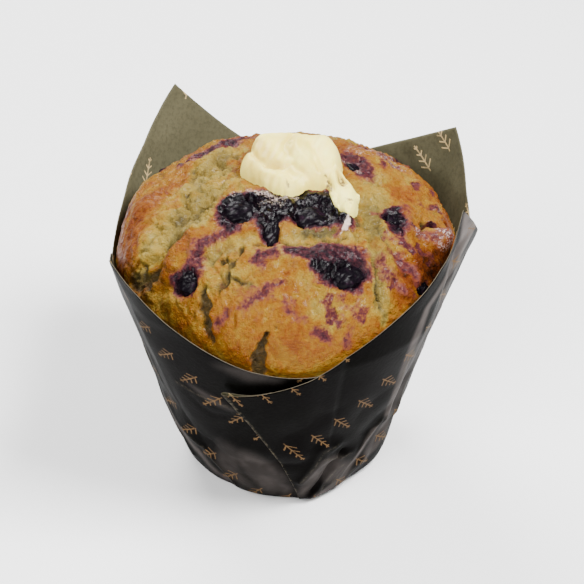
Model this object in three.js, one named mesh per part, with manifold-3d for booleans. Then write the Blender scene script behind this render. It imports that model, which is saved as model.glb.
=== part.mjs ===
// A large blueberry muffin in a folded tulip case of dark paper, with a dollop of cream on top.
// Millimetres, +Z up, the origin at the middle of the flat base, and the front pleat of the case towards -Y.
// A place on the crown is given by its bearing, in degrees from +X towards +Y, and its reach, the distance
// in mm from the middle of the top as a tape would lie down the crown.
import * as THREE from "three";
import { mergeVertices } from "three/addons/utils/BufferGeometryUtils.js";
import Module from "manifold-3d";

const wasm = await Module();
wasm.setup();

// Driving sizes of the muffin
const CROWN_RADIUS = 42.2; // at its widest level
const CROWN_LEVEL = 57.5; // height of that level above the table
const CROWN_RISE = 23.6; // from that level to the top
const CROWN_POWER = 2.25; // above 2, the dome is flatter on top and steeper at its side
const CROWN_LEAN = 1; // the top stands this far behind the middle of the base
const NECK_RADIUS = 41; // where the sides leave the case
const NECK_LEVEL = 50;
const FOOT_RADIUS = 24.9;
const FOOT_ROUND = 2.2; // rounding of the lower edge
const FOOT_LEVEL = 1; // the underside, just above the paper
const MUFFIN_GRID = [23, 23, 14]; // squares along the edges of the box that is blown up into the muffin

// Driving sizes of the case
const PAPER = 0.6; // the paper, thickened to what a solid needs
const BASE_ROUND = 2.4; // rounding of the edge that it stands on
const BELLY_LEVEL = 55.5; // where the muffin is widest
const WALL_STEPS = 8; // rows of facets from the base to the rim
const BEARING_STEP = 6; // degrees between the facets of the wall
const CLEARANCE = 0.35; // between pieces that touch
const SLIVER = 0.04; // facets thinner than this are merged where pieces have been joined or cut
const WALL_CLEARANCE = 0.8; // between the muffin and the wall, whose facets differ

const rad = THREE.MathUtils.degToRad;
const clamp01 = (x) => Math.min(1, Math.max(0, x));
const smooth = (x) => clamp01(x) ** 2 * (3 - 2 * clamp01(x));
const turnTo = (a, b) => ((((b - a + 180) % 360) + 360) % 360) - 180;

// A value at a bearing, eased between the two entries of a round table that lie beside the bearing
function around(table, bearing, name) {
  const ahead = (entry) => (turnTo(bearing, entry.bearing) + 360) % 360;
  const next = table.reduce((a, b) => (ahead(a) < ahead(b) ? a : b));
  const last = table.reduce((a, b) => (ahead(a) > ahead(b) ? a : b));
  const gone = 360 - ahead(last);
  return last[name] + (next[name] - last[name]) * smooth(gone / (gone + ahead(next)));
}

// Smooth random heights from 0 to 1, one for each square of a grid and eased between them
function patchwork(x, y) {
  const height = (i, j) => {
    const s = Math.sin(i * 127.1 + j * 311.7) * 43758.5453;
    return s - Math.floor(s);
  };
  const [i, j] = [Math.floor(x), Math.floor(y)];
  const [u, v] = [smooth(x - i), smooth(y - j)];
  const front = height(i, j) * (1 - u) + height(i + 1, j) * u;
  const back = height(i, j + 1) * (1 - u) + height(i + 1, j + 1) * u;
  return front * (1 - v) + back * v;
}

// Solids

function solidOf(geometry) {
  geometry.deleteAttribute("normal");
  geometry.deleteAttribute("uv");
  const merged = mergeVertices(geometry, 1e-4);
  return new wasm.Manifold(
    new wasm.Mesh({
      numProp: 3,
      vertProperties: merged.attributes.position.array,
      triVerts: new Uint32Array(merged.index.array),
    }),
  );
}

// The main piece of a solid, without slivers and loose scraps, and with any sealed air inside it filled
function mainPiece(solid) {
  const main = solid.decompose().reduce((a, b) => (a.volume() > b.volume() ? a : b));
  return main.simplify(SLIVER);
}

function geometryOf(solid) {
  const mesh = solid.getMesh();
  return new THREE.BufferGeometry()
    .setAttribute("position", new THREE.BufferAttribute(mesh.vertProperties, 3))
    .setIndex(new THREE.BufferAttribute(mesh.triVerts, 1));
}

// A closed surface through rows of points, each row a ring, with a fan at both ends.
function ringsGeometry(rings, first, last) {
  const around = rings[0].length;
  const points = [...rings.flat(), first, last];
  const at = (row, k) => row * around + (k % around);
  const faces = [];
  for (let k = 0; k < around; k++) {
    faces.push(rings.length * around, at(0, k + 1), at(0, k));
    faces.push(rings.length * around + 1, at(rings.length - 1, k), at(rings.length - 1, k + 1));
    for (let row = 0; row < rings.length - 1; row++) {
      faces.push(at(row, k), at(row, k + 1), at(row + 1, k + 1));
      faces.push(at(row, k), at(row + 1, k + 1), at(row + 1, k));
    }
  }
  return new THREE.BufferGeometry().setFromPoints(points).setIndex(faces);
}

// Outline of the muffin, from the middle of the top down to the middle of the underside

function crownOutline(k) {
  const u = ((1 - k) * Math.PI) / 2;
  return [
    CROWN_RADIUS * Math.cos(u) ** (2 / CROWN_POWER),
    CROWN_LEVEL + CROWN_RISE * Math.sin(u) ** (2 / CROWN_POWER),
  ];
}

function neckOutline(k) {
  return [
    CROWN_RADIUS - (CROWN_RADIUS - NECK_RADIUS) * k * k,
    CROWN_LEVEL - (CROWN_LEVEL - NECK_LEVEL) * k,
  ];
}

function sideOutline(k) {
  const foot = FOOT_LEVEL + FOOT_ROUND;
  return [NECK_RADIUS + (FOOT_RADIUS - NECK_RADIUS) * k, NECK_LEVEL + (foot - NECK_LEVEL) * k];
}

function footOutline(k) {
  const u = (k * Math.PI) / 2;
  return [
    FOOT_RADIUS - FOOT_ROUND * (1 - Math.cos(u)),
    FOOT_LEVEL + FOOT_ROUND * (1 - Math.sin(u)),
  ];
}

const undersideOutline = (k) => [(FOOT_RADIUS - FOOT_ROUND) * (1 - k), FOOT_LEVEL];

// The outline's points, each with its distance from the top, and the share of the facets spent by then
function measureOutline() {
  const stretches = [
    [crownOutline, 240, 1],
    [neckOutline, 30, 0.7],
    [sideOutline, 60, 0.12],
    [footOutline, 12, 0.12],
    [undersideOutline, 30, 0.12],
  ];
  const rows = [{ r: 0, z: CROWN_LEVEL + CROWN_RISE, reach: 0, spent: 0 }];
  for (const [curve, steps, density] of stretches)
    for (let i = 1; i <= steps; i++) {
      const before = rows.at(-1);
      const [r, z] = curve(i / steps);
      const step = Math.hypot(r - before.r, z - before.z);
      rows.push({
        r,
        z,
        reach: before.reach + step,
        spent: before.spent + ((density * (r + before.r)) / 2) * step,
      });
    }
  return rows;
}

const OUTLINE = measureOutline();

// The outline's row where the named measure reaches a value, between the two rows beside it
function outlineAt(measure, value) {
  let low = 0;
  let high = OUTLINE.length - 1;
  while (high - low > 1) {
    const middle = (low + high) >> 1;
    if (OUTLINE[middle][measure] > value) high = middle;
    else low = middle;
  }
  const [a, b] = [OUTLINE[low], OUTLINE[high]];
  const k = clamp01((value - a[measure]) / (b[measure] - a[measure] || 1));
  const mix = (name) => a[name] + (b[name] - a[name]) * k;
  return { r: mix("r"), z: mix("z"), reach: mix("reach"), slope: Math.atan2(a.z - b.z, b.r - a.r) };
}

// Relief of the crown, in mm outwards, from named forms on the tape's chart

const chart = (bearing, reach) =>
  new THREE.Vector2(reach * Math.cos(rad(bearing)), reach * Math.sin(rad(bearing)));

// Smooth swellings and hollows: bearing, reach, half length, half width, turn of the length, height
const SWELLINGS = [
  { name: "left shoulder", bearing: 176, reach: 39, long: 19, wide: 6, turn: 88, height: 1.3 },
  { name: "back shoulder", bearing: 128, reach: 33, long: 12, wide: 5, turn: 40, height: 1 },
  { name: "lip beside the left berry", bearing: -140, reach: 34, long: 9, wide: 2.6, turn: 38, height: 1.7 },
  { name: "front plate", bearing: -92, reach: 45, long: 17, wide: 6, turn: 0, height: 0.7 },
  { name: "front right plate", bearing: -62, reach: 47, long: 10, wide: 5, turn: 28, height: 0.6 },
  { name: "skin of the burst berry", bearing: -76, reach: 30.5, long: 8, wide: 4, turn: -4, height: 1.1 },
  { name: "right knob", bearing: -17, reach: 41, long: 4, wide: 3, turn: 60, height: 2.4 },
  { name: "right shoulder", bearing: 12, reach: 34, long: 9, wide: 5, turn: 100, height: 0.9 },
  { name: "ridge behind the middle berries", bearing: -75, reach: 27, long: 12, wide: 2.4, turn: 4, height: 0.7 },
  { name: "back knob", bearing: 78, reach: 42, long: 7, wide: 5, turn: -20, height: 1.4 },
  { name: "torn valley", bearing: -162, reach: 25, long: 13, wide: 4.6, turn: 50, height: -1.7 },
  { name: "torn foot of the valley", bearing: -147, reach: 39, long: 6, wide: 3.6, turn: 60, height: -1.5 },
  { name: "deep crevice", bearing: -138.5, reach: 43.5, long: 4.4, wide: 2.1, turn: 0, height: -3.6 },
  { name: "hole beside the knob", bearing: -9, reach: 38.2, long: 1.7, wide: 1.3, turn: 0, height: -2.4 },
  { name: "trough of the middle berries", bearing: -84, reach: 22.5, long: 11, wide: 2, turn: 6, height: -1.1 },
  { name: "back valley", bearing: 98, reach: 38, long: 8, wide: 3.5, turn: -70, height: -1.4 },
];

// Cracks in the crust, as the bearings and reaches that they pass through
const CRACKS = [
  { name: "front", width: 2, depth: 2.6, route: [[-98, 45.5], [-98, 50], [-99.5, 55.5]] },
  { name: "left", width: 2, depth: 2.2, route: [[-119, 39.6], [-117, 45], [-116, 50.5]] },
  { name: "network", width: 2, depth: 1.5, route: [[-98, 24], [-108, 28.5], [-110, 33], [-113, 38.5]] },
  { name: "right", width: 2, depth: 1.4, route: [[-38, 24], [-48, 31], [-53, 37], [-55, 43.5]] },
  { name: "shoulder", width: 2, depth: 0.9, route: [[-163, 46], [-171, 40], [167, 34], [140, 29]] },
  { name: "right rim", width: 2, depth: 1.1, route: [[-22, 47], [-31, 43], [-36, 37]] },
  { name: "back left", width: 2, depth: 1.8, route: [[150, 43], [140, 48], [134, 53]] },
  { name: "back", width: 2, depth: 2.1, route: [[62, 34], [57, 42], [60, 50]] },
  { name: "back middle", width: 2, depth: 1.4, route: [[110, 30], [98, 36], [101, 46]] },
];

for (const form of SWELLINGS) form.centre = chart(form.bearing, form.reach);
for (const crack of CRACKS) crack.points = crack.route.map(([bearing, reach]) => chart(bearing, reach));

function swellingAt(form, p) {
  const d = p.clone().sub(form.centre).rotateAround(new THREE.Vector2(), -rad(form.turn));
  return form.height * Math.exp(-((d.x / form.long) ** 2) - (d.y / form.wide) ** 2);
}

function distanceToRoute(points, p) {
  let least = Infinity;
  for (let i = 0; i + 1 < points.length; i++) {
    const along = points[i + 1].clone().sub(points[i]);
    const k = clamp01(p.clone().sub(points[i]).dot(along) / along.lengthSq());
    least = Math.min(least, p.distanceTo(points[i].clone().addScaledVector(along, k)));
  }
  return least;
}

// What keeps the crust uneven between the named forms
const LUMPS = [
  { size: 11, height: 1.3 },
  { size: 6.5, height: 0.8 },
];

function unevenness(p) {
  return LUMPS.reduce(
    (sum, { size, height }) => sum + height * (patchwork(p.x / size + 50, p.y / size + 50) - 0.5),
    0,
  );
}

function relief(bearing, reach) {
  const p = chart(bearing, reach);
  let height = unevenness(p);
  for (const form of SWELLINGS) height += swellingAt(form, p);
  for (const crack of CRACKS)
    height -= crack.depth * Math.exp(-((distanceToRoute(crack.points, p) / crack.width) ** 2));
  const shown = 1 - smooth((reach - 49) / 9);
  return height > 0 ? height * shown : height * Math.sqrt(shown);
}

// The point of the muffin's surface at a bearing and reach, moved out by the relief and by a further distance
function surfacePoint(bearing, row, extra = 0) {
  const out = relief(bearing, row.reach) + extra;
  const z = row.z + out * Math.cos(row.slope);
  const room = wallRadius(bearing, z) - WALL_CLEARANCE;
  const r = Math.min(Math.max(0, row.r + out * Math.sin(row.slope)), room);
  const lean = CROWN_LEAN * Math.max(0, (row.z - CROWN_LEVEL) / CROWN_RISE);
  return new THREE.Vector3(r * Math.cos(rad(bearing)), r * Math.sin(rad(bearing)) + lean, z);
}

const onCrown = (bearing, reach, extra = 0) =>
  surfacePoint(bearing, outlineAt("reach", reach), extra);

// The muffin, a box blown up so that most of its squares lie on the crown

function muffinSolid(extra = 0) {
  const box = new THREE.BoxGeometry(2, 2, 2, ...MUFFIN_GRID);
  const position = box.attributes.position;
  const total = OUTLINE.at(-1).spent;
  for (let i = 0; i < position.count; i++) {
    const p = new THREE.Vector3().fromBufferAttribute(position, i);
    const even = (x) => Math.tan((x * Math.PI) / 4);
    p.set(even(p.x), even(p.y), even(p.z)).normalize();
    const row = outlineAt("spent", (total * (1 - p.z)) / 2);
    const bearing = THREE.MathUtils.radToDeg(Math.atan2(p.y, p.x));
    const q = surfacePoint(bearing, row, extra);
    position.setXYZ(i, q.x, q.y, q.z);
  }
  return solidOf(box);
}

// Blueberries, each sunk in the crust: half sizes along the bearing, across it and outwards
const BERRIES = [
  { name: "berry_left", bearing: -129, reach: 39.4, size: [3.5, 3.1, 3], sink: 1.2 },
  { name: "berry_upper_left", bearing: -134, reach: 16.8, size: [4.2, 4.4, 3.2], sink: 1.5 },
  { name: "berry_middle_left", bearing: -101, reach: 20, size: [5, 2.2, 2.4], sink: 1.2 },
  { name: "berry_middle_right", bearing: -68, reach: 15.6, size: [4, 5, 3.4], sink: 1.5 },
  { name: "berry_right", bearing: -64.5, reach: 35.8, size: [3.1, 3.9, 3], sink: 1.4 },
  { name: "berry_far_right", bearing: -24, reach: 28.4, size: [2.5, 3.6, 2.6], sink: 1.2 },
  { name: "berry_beside_cream", bearing: 26, reach: 18, size: [2.8, 5, 2.6], sink: 1.3 },
  { name: "berry_rim", bearing: -37, reach: 45, size: [1.9, 2.3, 2], sink: 1.2 },
  { name: "berry_back", bearing: 84, reach: 45.5, size: [3.6, 4, 3], sink: 1.3 },
  { name: "berry_back_left", bearing: 146, reach: 45, size: [3.3, 3.6, 3], sink: 1.4 },
  { name: "berry_back_right", bearing: 40, reach: 44, size: [3.4, 3.2, 2.8], sink: 1.2 },
];

function berrySolid(berry, extra = 0) {
  const ball = new THREE.IcosahedronGeometry(1, 2);
  const position = ball.attributes.position;
  const phase = berry.bearing;
  for (let i = 0; i < position.count; i++) {
    const p = new THREE.Vector3().fromBufferAttribute(position, i);
    const dent = 0.07 * Math.sin(3 * p.x + phase) * Math.sin(4 * p.y - phase) - 0.18 * clamp01(p.z) ** 6;
    p.multiplyScalar(1 + dent);
    p.multiply(new THREE.Vector3(...berry.size).addScalar(extra));
    position.setXYZ(i, p.x, p.y, p.z);
  }
  const middle = onCrown(berry.bearing, berry.reach, -berry.sink);
  const outwards = onCrown(berry.bearing, berry.reach, 5).sub(onCrown(berry.bearing, berry.reach, -5)).normalize();
  const down = onCrown(berry.bearing, berry.reach + 1, 0).sub(onCrown(berry.bearing, berry.reach - 1, 0));
  const across = new THREE.Vector3().crossVectors(outwards, down).normalize();
  const frame = new THREE.Matrix4().makeBasis(
    new THREE.Vector3().crossVectors(across, outwards),
    across,
    outwards,
  );
  ball.applyMatrix4(frame.setPosition(middle));
  return solidOf(ball);
}

// The cream: a smeared dollop, with a smaller one that hangs over the berries on its right.
// Each has its outline as reaches from its own middle, its foot sunk in the crown, and ridges that a spoon left.
const DOLLOPS = [
  {
    middle: [1.5, 4.2],
    outline: [
      { bearing: 0, reach: 12.6 },
      { bearing: 30, reach: 13 },
      { bearing: 62, reach: 12.4 },
      { bearing: 102, reach: 12 },
      { bearing: 145, reach: 12.6 },
      { bearing: 182, reach: 13.8 },
      { bearing: 222, reach: 11.6 },
      { bearing: 258, reach: 13 },
      { bearing: 286, reach: 11.8 },
      { bearing: 325, reach: 12.4 },
    ],
    top: 88,
    lobes: [
      { at: [-6, 3], long: 9, wide: 2.6, turn: 58, height: -1.1 },
      { at: [5.5, 1], long: 8, wide: 2.4, turn: 70, height: -0.9 },
      { at: [0, 4], long: 9, wide: 3, turn: 62, height: 0.7 },
      { at: [2, -5], long: 7, wide: 3, turn: 10, height: -0.9 },
    ],
  },
  {
    middle: [13.4, -8],
    outline: [
      { bearing: -3, reach: 3.9 },
      { bearing: 68, reach: 7.6 },
      { bearing: 100, reach: 9.4 },
      { bearing: 150, reach: 6 },
      { bearing: -117, reach: 5.4 },
      { bearing: -80, reach: 8.2 },
      { bearing: -55, reach: 6.6 },
    ],
    top: 83.6,
    lobes: [{ at: [12.6, -3], long: 3, wide: 1.6, turn: 20, height: -0.7 }],
  },
];
const DOLLOP_FOOT = 77;
const DOLLOP_RINGS = 8;
const DOLLOP_SIDES = 24;

function dollopSolid({ middle, outline, top, lobes }) {
  const pointAt = (share, k) => {
    const bearing = (k * 360) / DOLLOP_SIDES;
    const reach = around(outline, bearing, "reach") * share;
    return new THREE.Vector2(...middle).add(chart(bearing, reach));
  };
  const topAt = (p, share) => {
    const ridges = lobes.reduce((sum, lobe) => {
      const d = p.clone().sub(new THREE.Vector2(...lobe.at)).rotateAround(new THREE.Vector2(), -rad(lobe.turn));
      return sum + lobe.height * Math.exp(-((d.x / lobe.long) ** 2) - (d.y / lobe.wide) ** 2);
    }, 0);
    return DOLLOP_FOOT + (top + ridges - DOLLOP_FOOT) * (1 - share ** 5) ** 0.5;
  };
  const rings = [];
  for (let i = 1; i <= DOLLOP_RINGS; i++) {
    const share = Math.sin((i / DOLLOP_RINGS) * 1.5);
    const ring = Array.from({ length: DOLLOP_SIDES }, (_, k) => pointAt(share, k));
    rings.unshift(ring.map((p) => new THREE.Vector3(p.x, p.y, topAt(p, share))));
  }
  rings.unshift(rings[0].map((p) => p.clone().setZ(DOLLOP_FOOT)));
  const centre = new THREE.Vector2(...middle);
  return solidOf(
    ringsGeometry(
      rings,
      new THREE.Vector3(...middle, DOLLOP_FOOT),
      new THREE.Vector3(...middle, topAt(centre, 0)),
    ),
  );
}

function creamSolid(muffinAndBerries) {
  const dollops = DOLLOPS.map(dollopSolid).reduce((sum, dollop) => sum.add(dollop));
  return mainPiece(dollops.subtract(muffinAndBerries));
}

// The case, a square sheet pressed into a cup: its corners stand up as four tips, with a pleat between each two.
// From a tip towards each valley, the one at smaller bearings first, the rim falls and its flare fades,
// sharply at first where the power is above 1.
const TIPS = [
  { name: "front left", bearing: -139.7, radius: 52.4, height: 81, fall: [1.5, 2.1], flare: [2.8, 1.7] },
  { name: "front right", bearing: -27, radius: 45.4, height: 84.5, fall: [0.85, 1.2], flare: [1.7, 1.7] },
  { name: "back right", bearing: 35, radius: 52.3, height: 77.9, fall: [1, 1.65], flare: [1.7, 1.7] },
  { name: "back left", bearing: 124, radius: 52.6, height: 82.9, fall: [1.95, 1.3], flare: [1.7, 2.3] },
];
const VALLEYS = [
  { name: "front", bearing: -83, radius: 43.3, height: 54.4 },
  { name: "right", bearing: 5, radius: 45.8, height: 62 },
  { name: "back", bearing: 86, radius: 43.8, height: 60 },
  { name: "left", bearing: 180, radius: 43.5, height: 59.5 },
];

// The wall's radius inside at the table and at the belly, and how far it is drawn in between the two
const GIRTHS = [
  { bearing: -166, foot: 26.6, belly: 42, hollow: 0 },
  { bearing: -126, foot: 25.4, belly: 43.2, hollow: 0 },
  { bearing: -84, foot: 25.9, belly: 43, hollow: 0 },
  { bearing: -50, foot: 23.6, belly: 42.2, hollow: 0 },
  { bearing: -14, foot: 25.6, belly: 40.2, hollow: 0.8 },
  { bearing: 35, foot: 25.8, belly: 42.8, hollow: 0 },
  { bearing: 90, foot: 25.6, belly: 43, hollow: 0 },
  { bearing: 140, foot: 26.2, belly: 43.4, hollow: 0 },
];

// Where the rim is, at a bearing
function rimAt(bearing) {
  const nearest = (list, side) =>
    list
      .map((point) => ({ point, turn: side * turnTo(bearing, point.bearing) }))
      .map((found) => ({ ...found, turn: found.turn < -1e-9 ? found.turn + 360 : found.turn }))
      .reduce((a, b) => (a.turn < b.turn ? a : b));
  const sides = [-1, 1].map((side) => ({ side, tip: nearest(TIPS, side), valley: nearest(VALLEYS, side) }));
  const towards = sides.find(({ tip, valley }) => tip.turn <= valley.turn) ?? sides[0];
  const { point: tip, turn: toTip } = towards.tip;
  const { point: valley, turn: toValley } = sides.find((s) => s !== towards).valley;
  const k = toTip / (toTip + toValley || 1);
  const side = towards.side < 0 ? 1 : 0;
  return {
    radius: valley.radius + (tip.radius - valley.radius) * (1 - k) ** tip.flare[side],
    height: valley.height + (tip.height - valley.height) * (1 - k) ** tip.fall[side],
  };
}

// Radius of the wall's inner face: straight up to the belly of the muffin, and from there to the rim
function wallRadius(bearing, height) {
  const rim = rimAt(bearing);
  const foot = around(GIRTHS, bearing, "foot");
  const straight = foot + ((rim.radius - foot) * BELLY_LEVEL) / rim.height;
  const belly = Math.max(straight, around(GIRTHS, bearing, "belly"));
  if (height < BELLY_LEVEL) {
    const share = height / BELLY_LEVEL;
    const drawnIn = around(GIRTHS, bearing, "hollow") * Math.sin(Math.PI * share);
    const round = 0.6 * BASE_ROUND * (1 - smooth(height / BASE_ROUND));
    return foot + (belly - foot) * share - drawnIn - round;
  }
  return belly + ((rim.radius - belly) * (height - BELLY_LEVEL)) / Math.max(rim.height - BELLY_LEVEL, 1);
}

// A point of the wall's inner face: share 0 is at the table and 1 at the rim
function wallPoint(bearing, share, out = 0) {
  const height = rimAt(bearing).height * share;
  const r = wallRadius(bearing, height) + out;
  return new THREE.Vector3(r * Math.cos(rad(bearing)), r * Math.sin(rad(bearing)), height);
}

// Bearings of the wall's facets in order, with the tips and valleys among them
function wallBearings() {
  const named = [...TIPS, ...VALLEYS].map((point) => turnTo(0, point.bearing));
  const even = Array.from({ length: 360 / BEARING_STEP }, (_, i) => i * BEARING_STEP - 180);
  const clear = even.filter((b) => named.every((n) => Math.abs(turnTo(b, n)) > BEARING_STEP / 2));
  return [...clear, ...named].sort((a, b) => a - b);
}

// The wall and its base, or with extra, that much thicker on the inside
function wallSolid(extra = 0) {
  const bearings = wallBearings();
  const shares = Array.from({ length: WALL_STEPS + 1 }, (_, i) => (i / WALL_STEPS) ** 1.15);
  const outside = shares.map((share) => bearings.map((b) => wallPoint(b, share, PAPER)));
  const inside = shares.map((share) =>
    bearings.map((b) => {
      const p = wallPoint(b, share, -extra);
      return p.setZ(Math.max(p.z, PAPER + extra));
    }),
  );
  const foot = new THREE.Vector3(0, 0, 0);
  const floor = new THREE.Vector3(0, 0, PAPER + extra);
  return solidOf(ringsGeometry([...outside, ...inside.reverse()], foot, floor));
}

// A pleat lies against the wall outside: it starts in the paper at one bearing and ends at a slanting fold
const PLEATS = [
  { name: "front", start: -72, foldTop: -110, foldFoot: -83, top: [56.5, 47.5], stand: 1.8 },
  { name: "left", start: -160, foldTop: 163, foldFoot: -172, top: [58, 51], stand: 0.8 },
  { name: "back", start: 62, foldTop: 96, foldFoot: 72, top: [60, 52], stand: 1.4 },
  { name: "right", start: -14, foldTop: 16, foldFoot: -6, top: [62, 55], stand: 0.9 },
];
const PLEAT_COLUMNS = 6;
const PLEAT_ROWS = 7;
const PLEAT_FOOT = 1.2; // height of the pleat's lower end above the table

function pleatSolid(pleat) {
  const rows = [];
  for (let i = 0; i <= PLEAT_ROWS; i++) {
    const up = i / PLEAT_ROWS;
    const fold = pleat.foldFoot + turnTo(pleat.foldFoot, pleat.foldTop) * up;
    const points = [];
    for (let j = 0; j <= PLEAT_COLUMNS; j++) {
      const across = j / PLEAT_COLUMNS;
      const bearing = pleat.start + turnTo(pleat.start, fold) * across;
      const top = pleat.top[0] + (pleat.top[1] - pleat.top[0]) * across;
      const height = PLEAT_FOOT + (top - PLEAT_FOOT) * up;
      const share = Math.min(0.98, height / rimAt(bearing).height);
      const stand = pleat.stand * Math.sqrt(across) * (0.25 + 0.75 * up);
      points.push([wallPoint(bearing, share, 0.75 * PAPER + stand), wallPoint(bearing, share, 0.4 * PAPER)]);
    }
    const ring = [...points.map((p) => p[0]), ...points.map((p) => p[1]).reverse()];
    rows.push(turnTo(pleat.start, pleat.foldTop) > 0 ? ring : ring.reverse());
  }
  const middle = (ring) => ring[2].clone().add(ring[ring.length - 3]).multiplyScalar(0.5);
  return solidOf(ringsGeometry(rows, middle(rows[0]), middle(rows.at(-1))));
}

// The object

const LOOKS = {
  crust: { color: 0xc88a3c, roughness: 0.75 },
  paper: { color: 0x28241f, roughness: 0.45 },
  berry: { color: 0x1f1428, roughness: 0.3 },
  cream: { color: 0xf1ebcb, roughness: 0.45 },
};

function node(name, solid, look) {
  const mesh = new THREE.Mesh(geometryOf(solid), new THREE.MeshStandardMaterial({ ...look, metalness: 0 }));
  mesh.name = name;
  return mesh;
}

const grownBerries = BERRIES.map((berry) => berrySolid(berry, CLEARANCE)).reduce((sum, b) => sum.add(b));
const grownMuffin = muffinSolid(CLEARANCE);
const muffin = mainPiece(muffinSolid().subtract(grownBerries.add(wallSolid(CLEARANCE))));
const cream = creamSolid(grownMuffin.add(grownBerries));
const paperCase = mainPiece(PLEATS.map(pleatSolid).reduce((sum, pleat) => sum.add(pleat), wallSolid()));

const object = new THREE.Group();
object.add(node("muffin", muffin, LOOKS.crust));
object.add(node("paper_case", paperCase, LOOKS.paper));
object.add(node("cream", cream, LOOKS.cream));
for (const berry of BERRIES) object.add(node(berry.name, berrySolid(berry), LOOKS.berry));

export default object;
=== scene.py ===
import math

import bpy
import numpy as np
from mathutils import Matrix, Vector, noise


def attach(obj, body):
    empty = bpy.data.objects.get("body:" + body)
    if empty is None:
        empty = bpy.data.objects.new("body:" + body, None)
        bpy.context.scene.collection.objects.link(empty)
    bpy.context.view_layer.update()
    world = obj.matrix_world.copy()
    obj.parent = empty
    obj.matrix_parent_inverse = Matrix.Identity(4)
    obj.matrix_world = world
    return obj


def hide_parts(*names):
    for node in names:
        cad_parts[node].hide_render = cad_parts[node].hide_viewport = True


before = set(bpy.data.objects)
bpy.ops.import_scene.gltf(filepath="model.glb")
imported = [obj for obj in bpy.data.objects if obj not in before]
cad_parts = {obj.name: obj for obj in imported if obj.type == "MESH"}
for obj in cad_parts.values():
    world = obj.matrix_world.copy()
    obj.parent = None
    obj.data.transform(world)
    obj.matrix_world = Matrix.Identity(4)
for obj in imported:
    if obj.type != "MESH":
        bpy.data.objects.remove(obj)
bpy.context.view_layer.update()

MM = 0.001

# Driving sizes, as in the part's source
CROWN_RADIUS = 42.2  # at its widest level
CROWN_LEVEL = 57.5  # height of that level above the table
CROWN_RISE = 23.6  # from that level to the top
CROWN_POWER = 2.25  # above 2, the dome is flatter on top and steeper at its side
CROWN_LEAN = 1.0  # the top stands this far behind the middle of the base
NECK_RADIUS, NECK_LEVEL = 41.0, 50.0  # where the sides leave the case
BASE_ROUND = 2.4  # rounding of the edge that it stands on
BELLY_LEVEL = 55.5  # where the muffin is widest

# How finely the pieces are made, and the room between them
CROWN_REACH = 62.0  # the finely divided part of the muffin ends here, inside the case
CROWN_GRID = 284  # squares along each side of the grid that is laid over the crown
RELIEF_REACH, RELIEF_FADE = 50.0, 10.0  # the relief fades out from here, over this width
HIDDEN_LEVELS = (36.0, 20.0, 8.0, 3.2, 1.6)  # heights of the rings on its hidden side
HIDDEN_GAP = 2.0  # air between those rings and the paper
GAP = 0.3  # air between the crown and the paper
BERRY_FINENESS = 5  # times that the faces of a berry's ball are divided
CREAM_STEP = 0.2  # between the points of the cream
CREAM_THINNEST = 1.2
CREAM_ROUNDING = 2.4  # width of the rounded edge
CREAM_SEAM = 0.75  # width of the seam around it, which goes down into the crust
PAPER = 0.16  # thickness of the real paper
PANEL_ROWS = 90  # rows of points from the table to the rim
PANEL_FOOT = 0.15  # height of the lowest of them
CASE_ARC = 36.0  # bearings on the case are turned into mm at this radius
FOLD_ARC = 38.0  # and mm into bearings at this one, where a pleat is folded
SHEET_FOOT = 24.0  # radius at which the flat sheet turns up into the wall

# Camera, fitted to the photo's outline
CAMERA_ELEVATION = 36.0
CAMERA_DISTANCE = 430.0
CAMERA_TARGET = (1.0, 0.0, 47.5)
CAMERA_LENS = 105.0
CAMERA_SENSOR = 36.0

# Lights, in metres: name, place, size and power
LIGHTS = [
    ("key", (0.42, -0.2, 0.78), 0.35, 21.5),
    ("back", (-0.25, 0.55, 0.6), 0.4, 11.0),
    ("fill", (-0.42, -0.56, 0.64), 0.5, 11.0),
]
LIGHTS_AIM = (0, 0, 0.05)
WORLD_STRENGTH = 0.18
FLOOR_REACH = 2.0


# Numbers and random fields

def ease(x):
    x = np.clip(x, 0, 1)
    return x * x * (3 - 2 * x)


def turn_to(a, b):
    """The turn from one bearing to another, from -180 to 180."""
    return (b - a + 180) % 360 - 180


def seen_from(middle, bearing, x, y):
    """Places as seen from a middle: how far along a bearing, and how far to its left."""
    c, s = math.cos(math.radians(bearing)), math.sin(math.radians(bearing))
    u, v = x - middle[0], y - middle[1]
    return u * c + v * s, -u * s + v * c


def patchwork(x, y):
    """Smooth random heights from 0 to 1, one for each square of a grid and eased between them."""
    def height(i, j):
        return np.modf(np.sin(i * 127.1 + j * 311.7) * 43758.5453)[0] % 1

    i, j = np.floor(x), np.floor(y)
    u, v = ease(x - i), ease(y - j)
    front = height(i, j) * (1 - u) + height(i + 1, j) * u
    back = height(i, j + 1) * (1 - u) + height(i + 1, j + 1) * u
    return front * (1 - v) + back * v


def rough(x, y, size, octaves=3, seed=0):
    """Uneven heights between about -1 and 1, in grains of the given size and finer ones on them."""
    total = 0
    for octave in range(octaves):
        turn = 0.7 + 1.3 * octave + seed
        c, s = math.cos(turn), math.sin(turn)
        u = (c * x - s * y) / size * 2 ** octave + 37.3 + 11 * seed
        v = (s * x + c * y) / size * 2 ** octave + 51.9 + 5 * octave
        total = total + (patchwork(u, v) * 2 - 1) * 0.55 ** octave
    return total


def billow(x, y, size, seed=0):
    """Round lumps of the given size, from 0 in the sharp gaps between them to about 1."""
    return np.minimum(1.6 * np.abs(rough(x, y, size, 2, seed)), 1.2)


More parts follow.
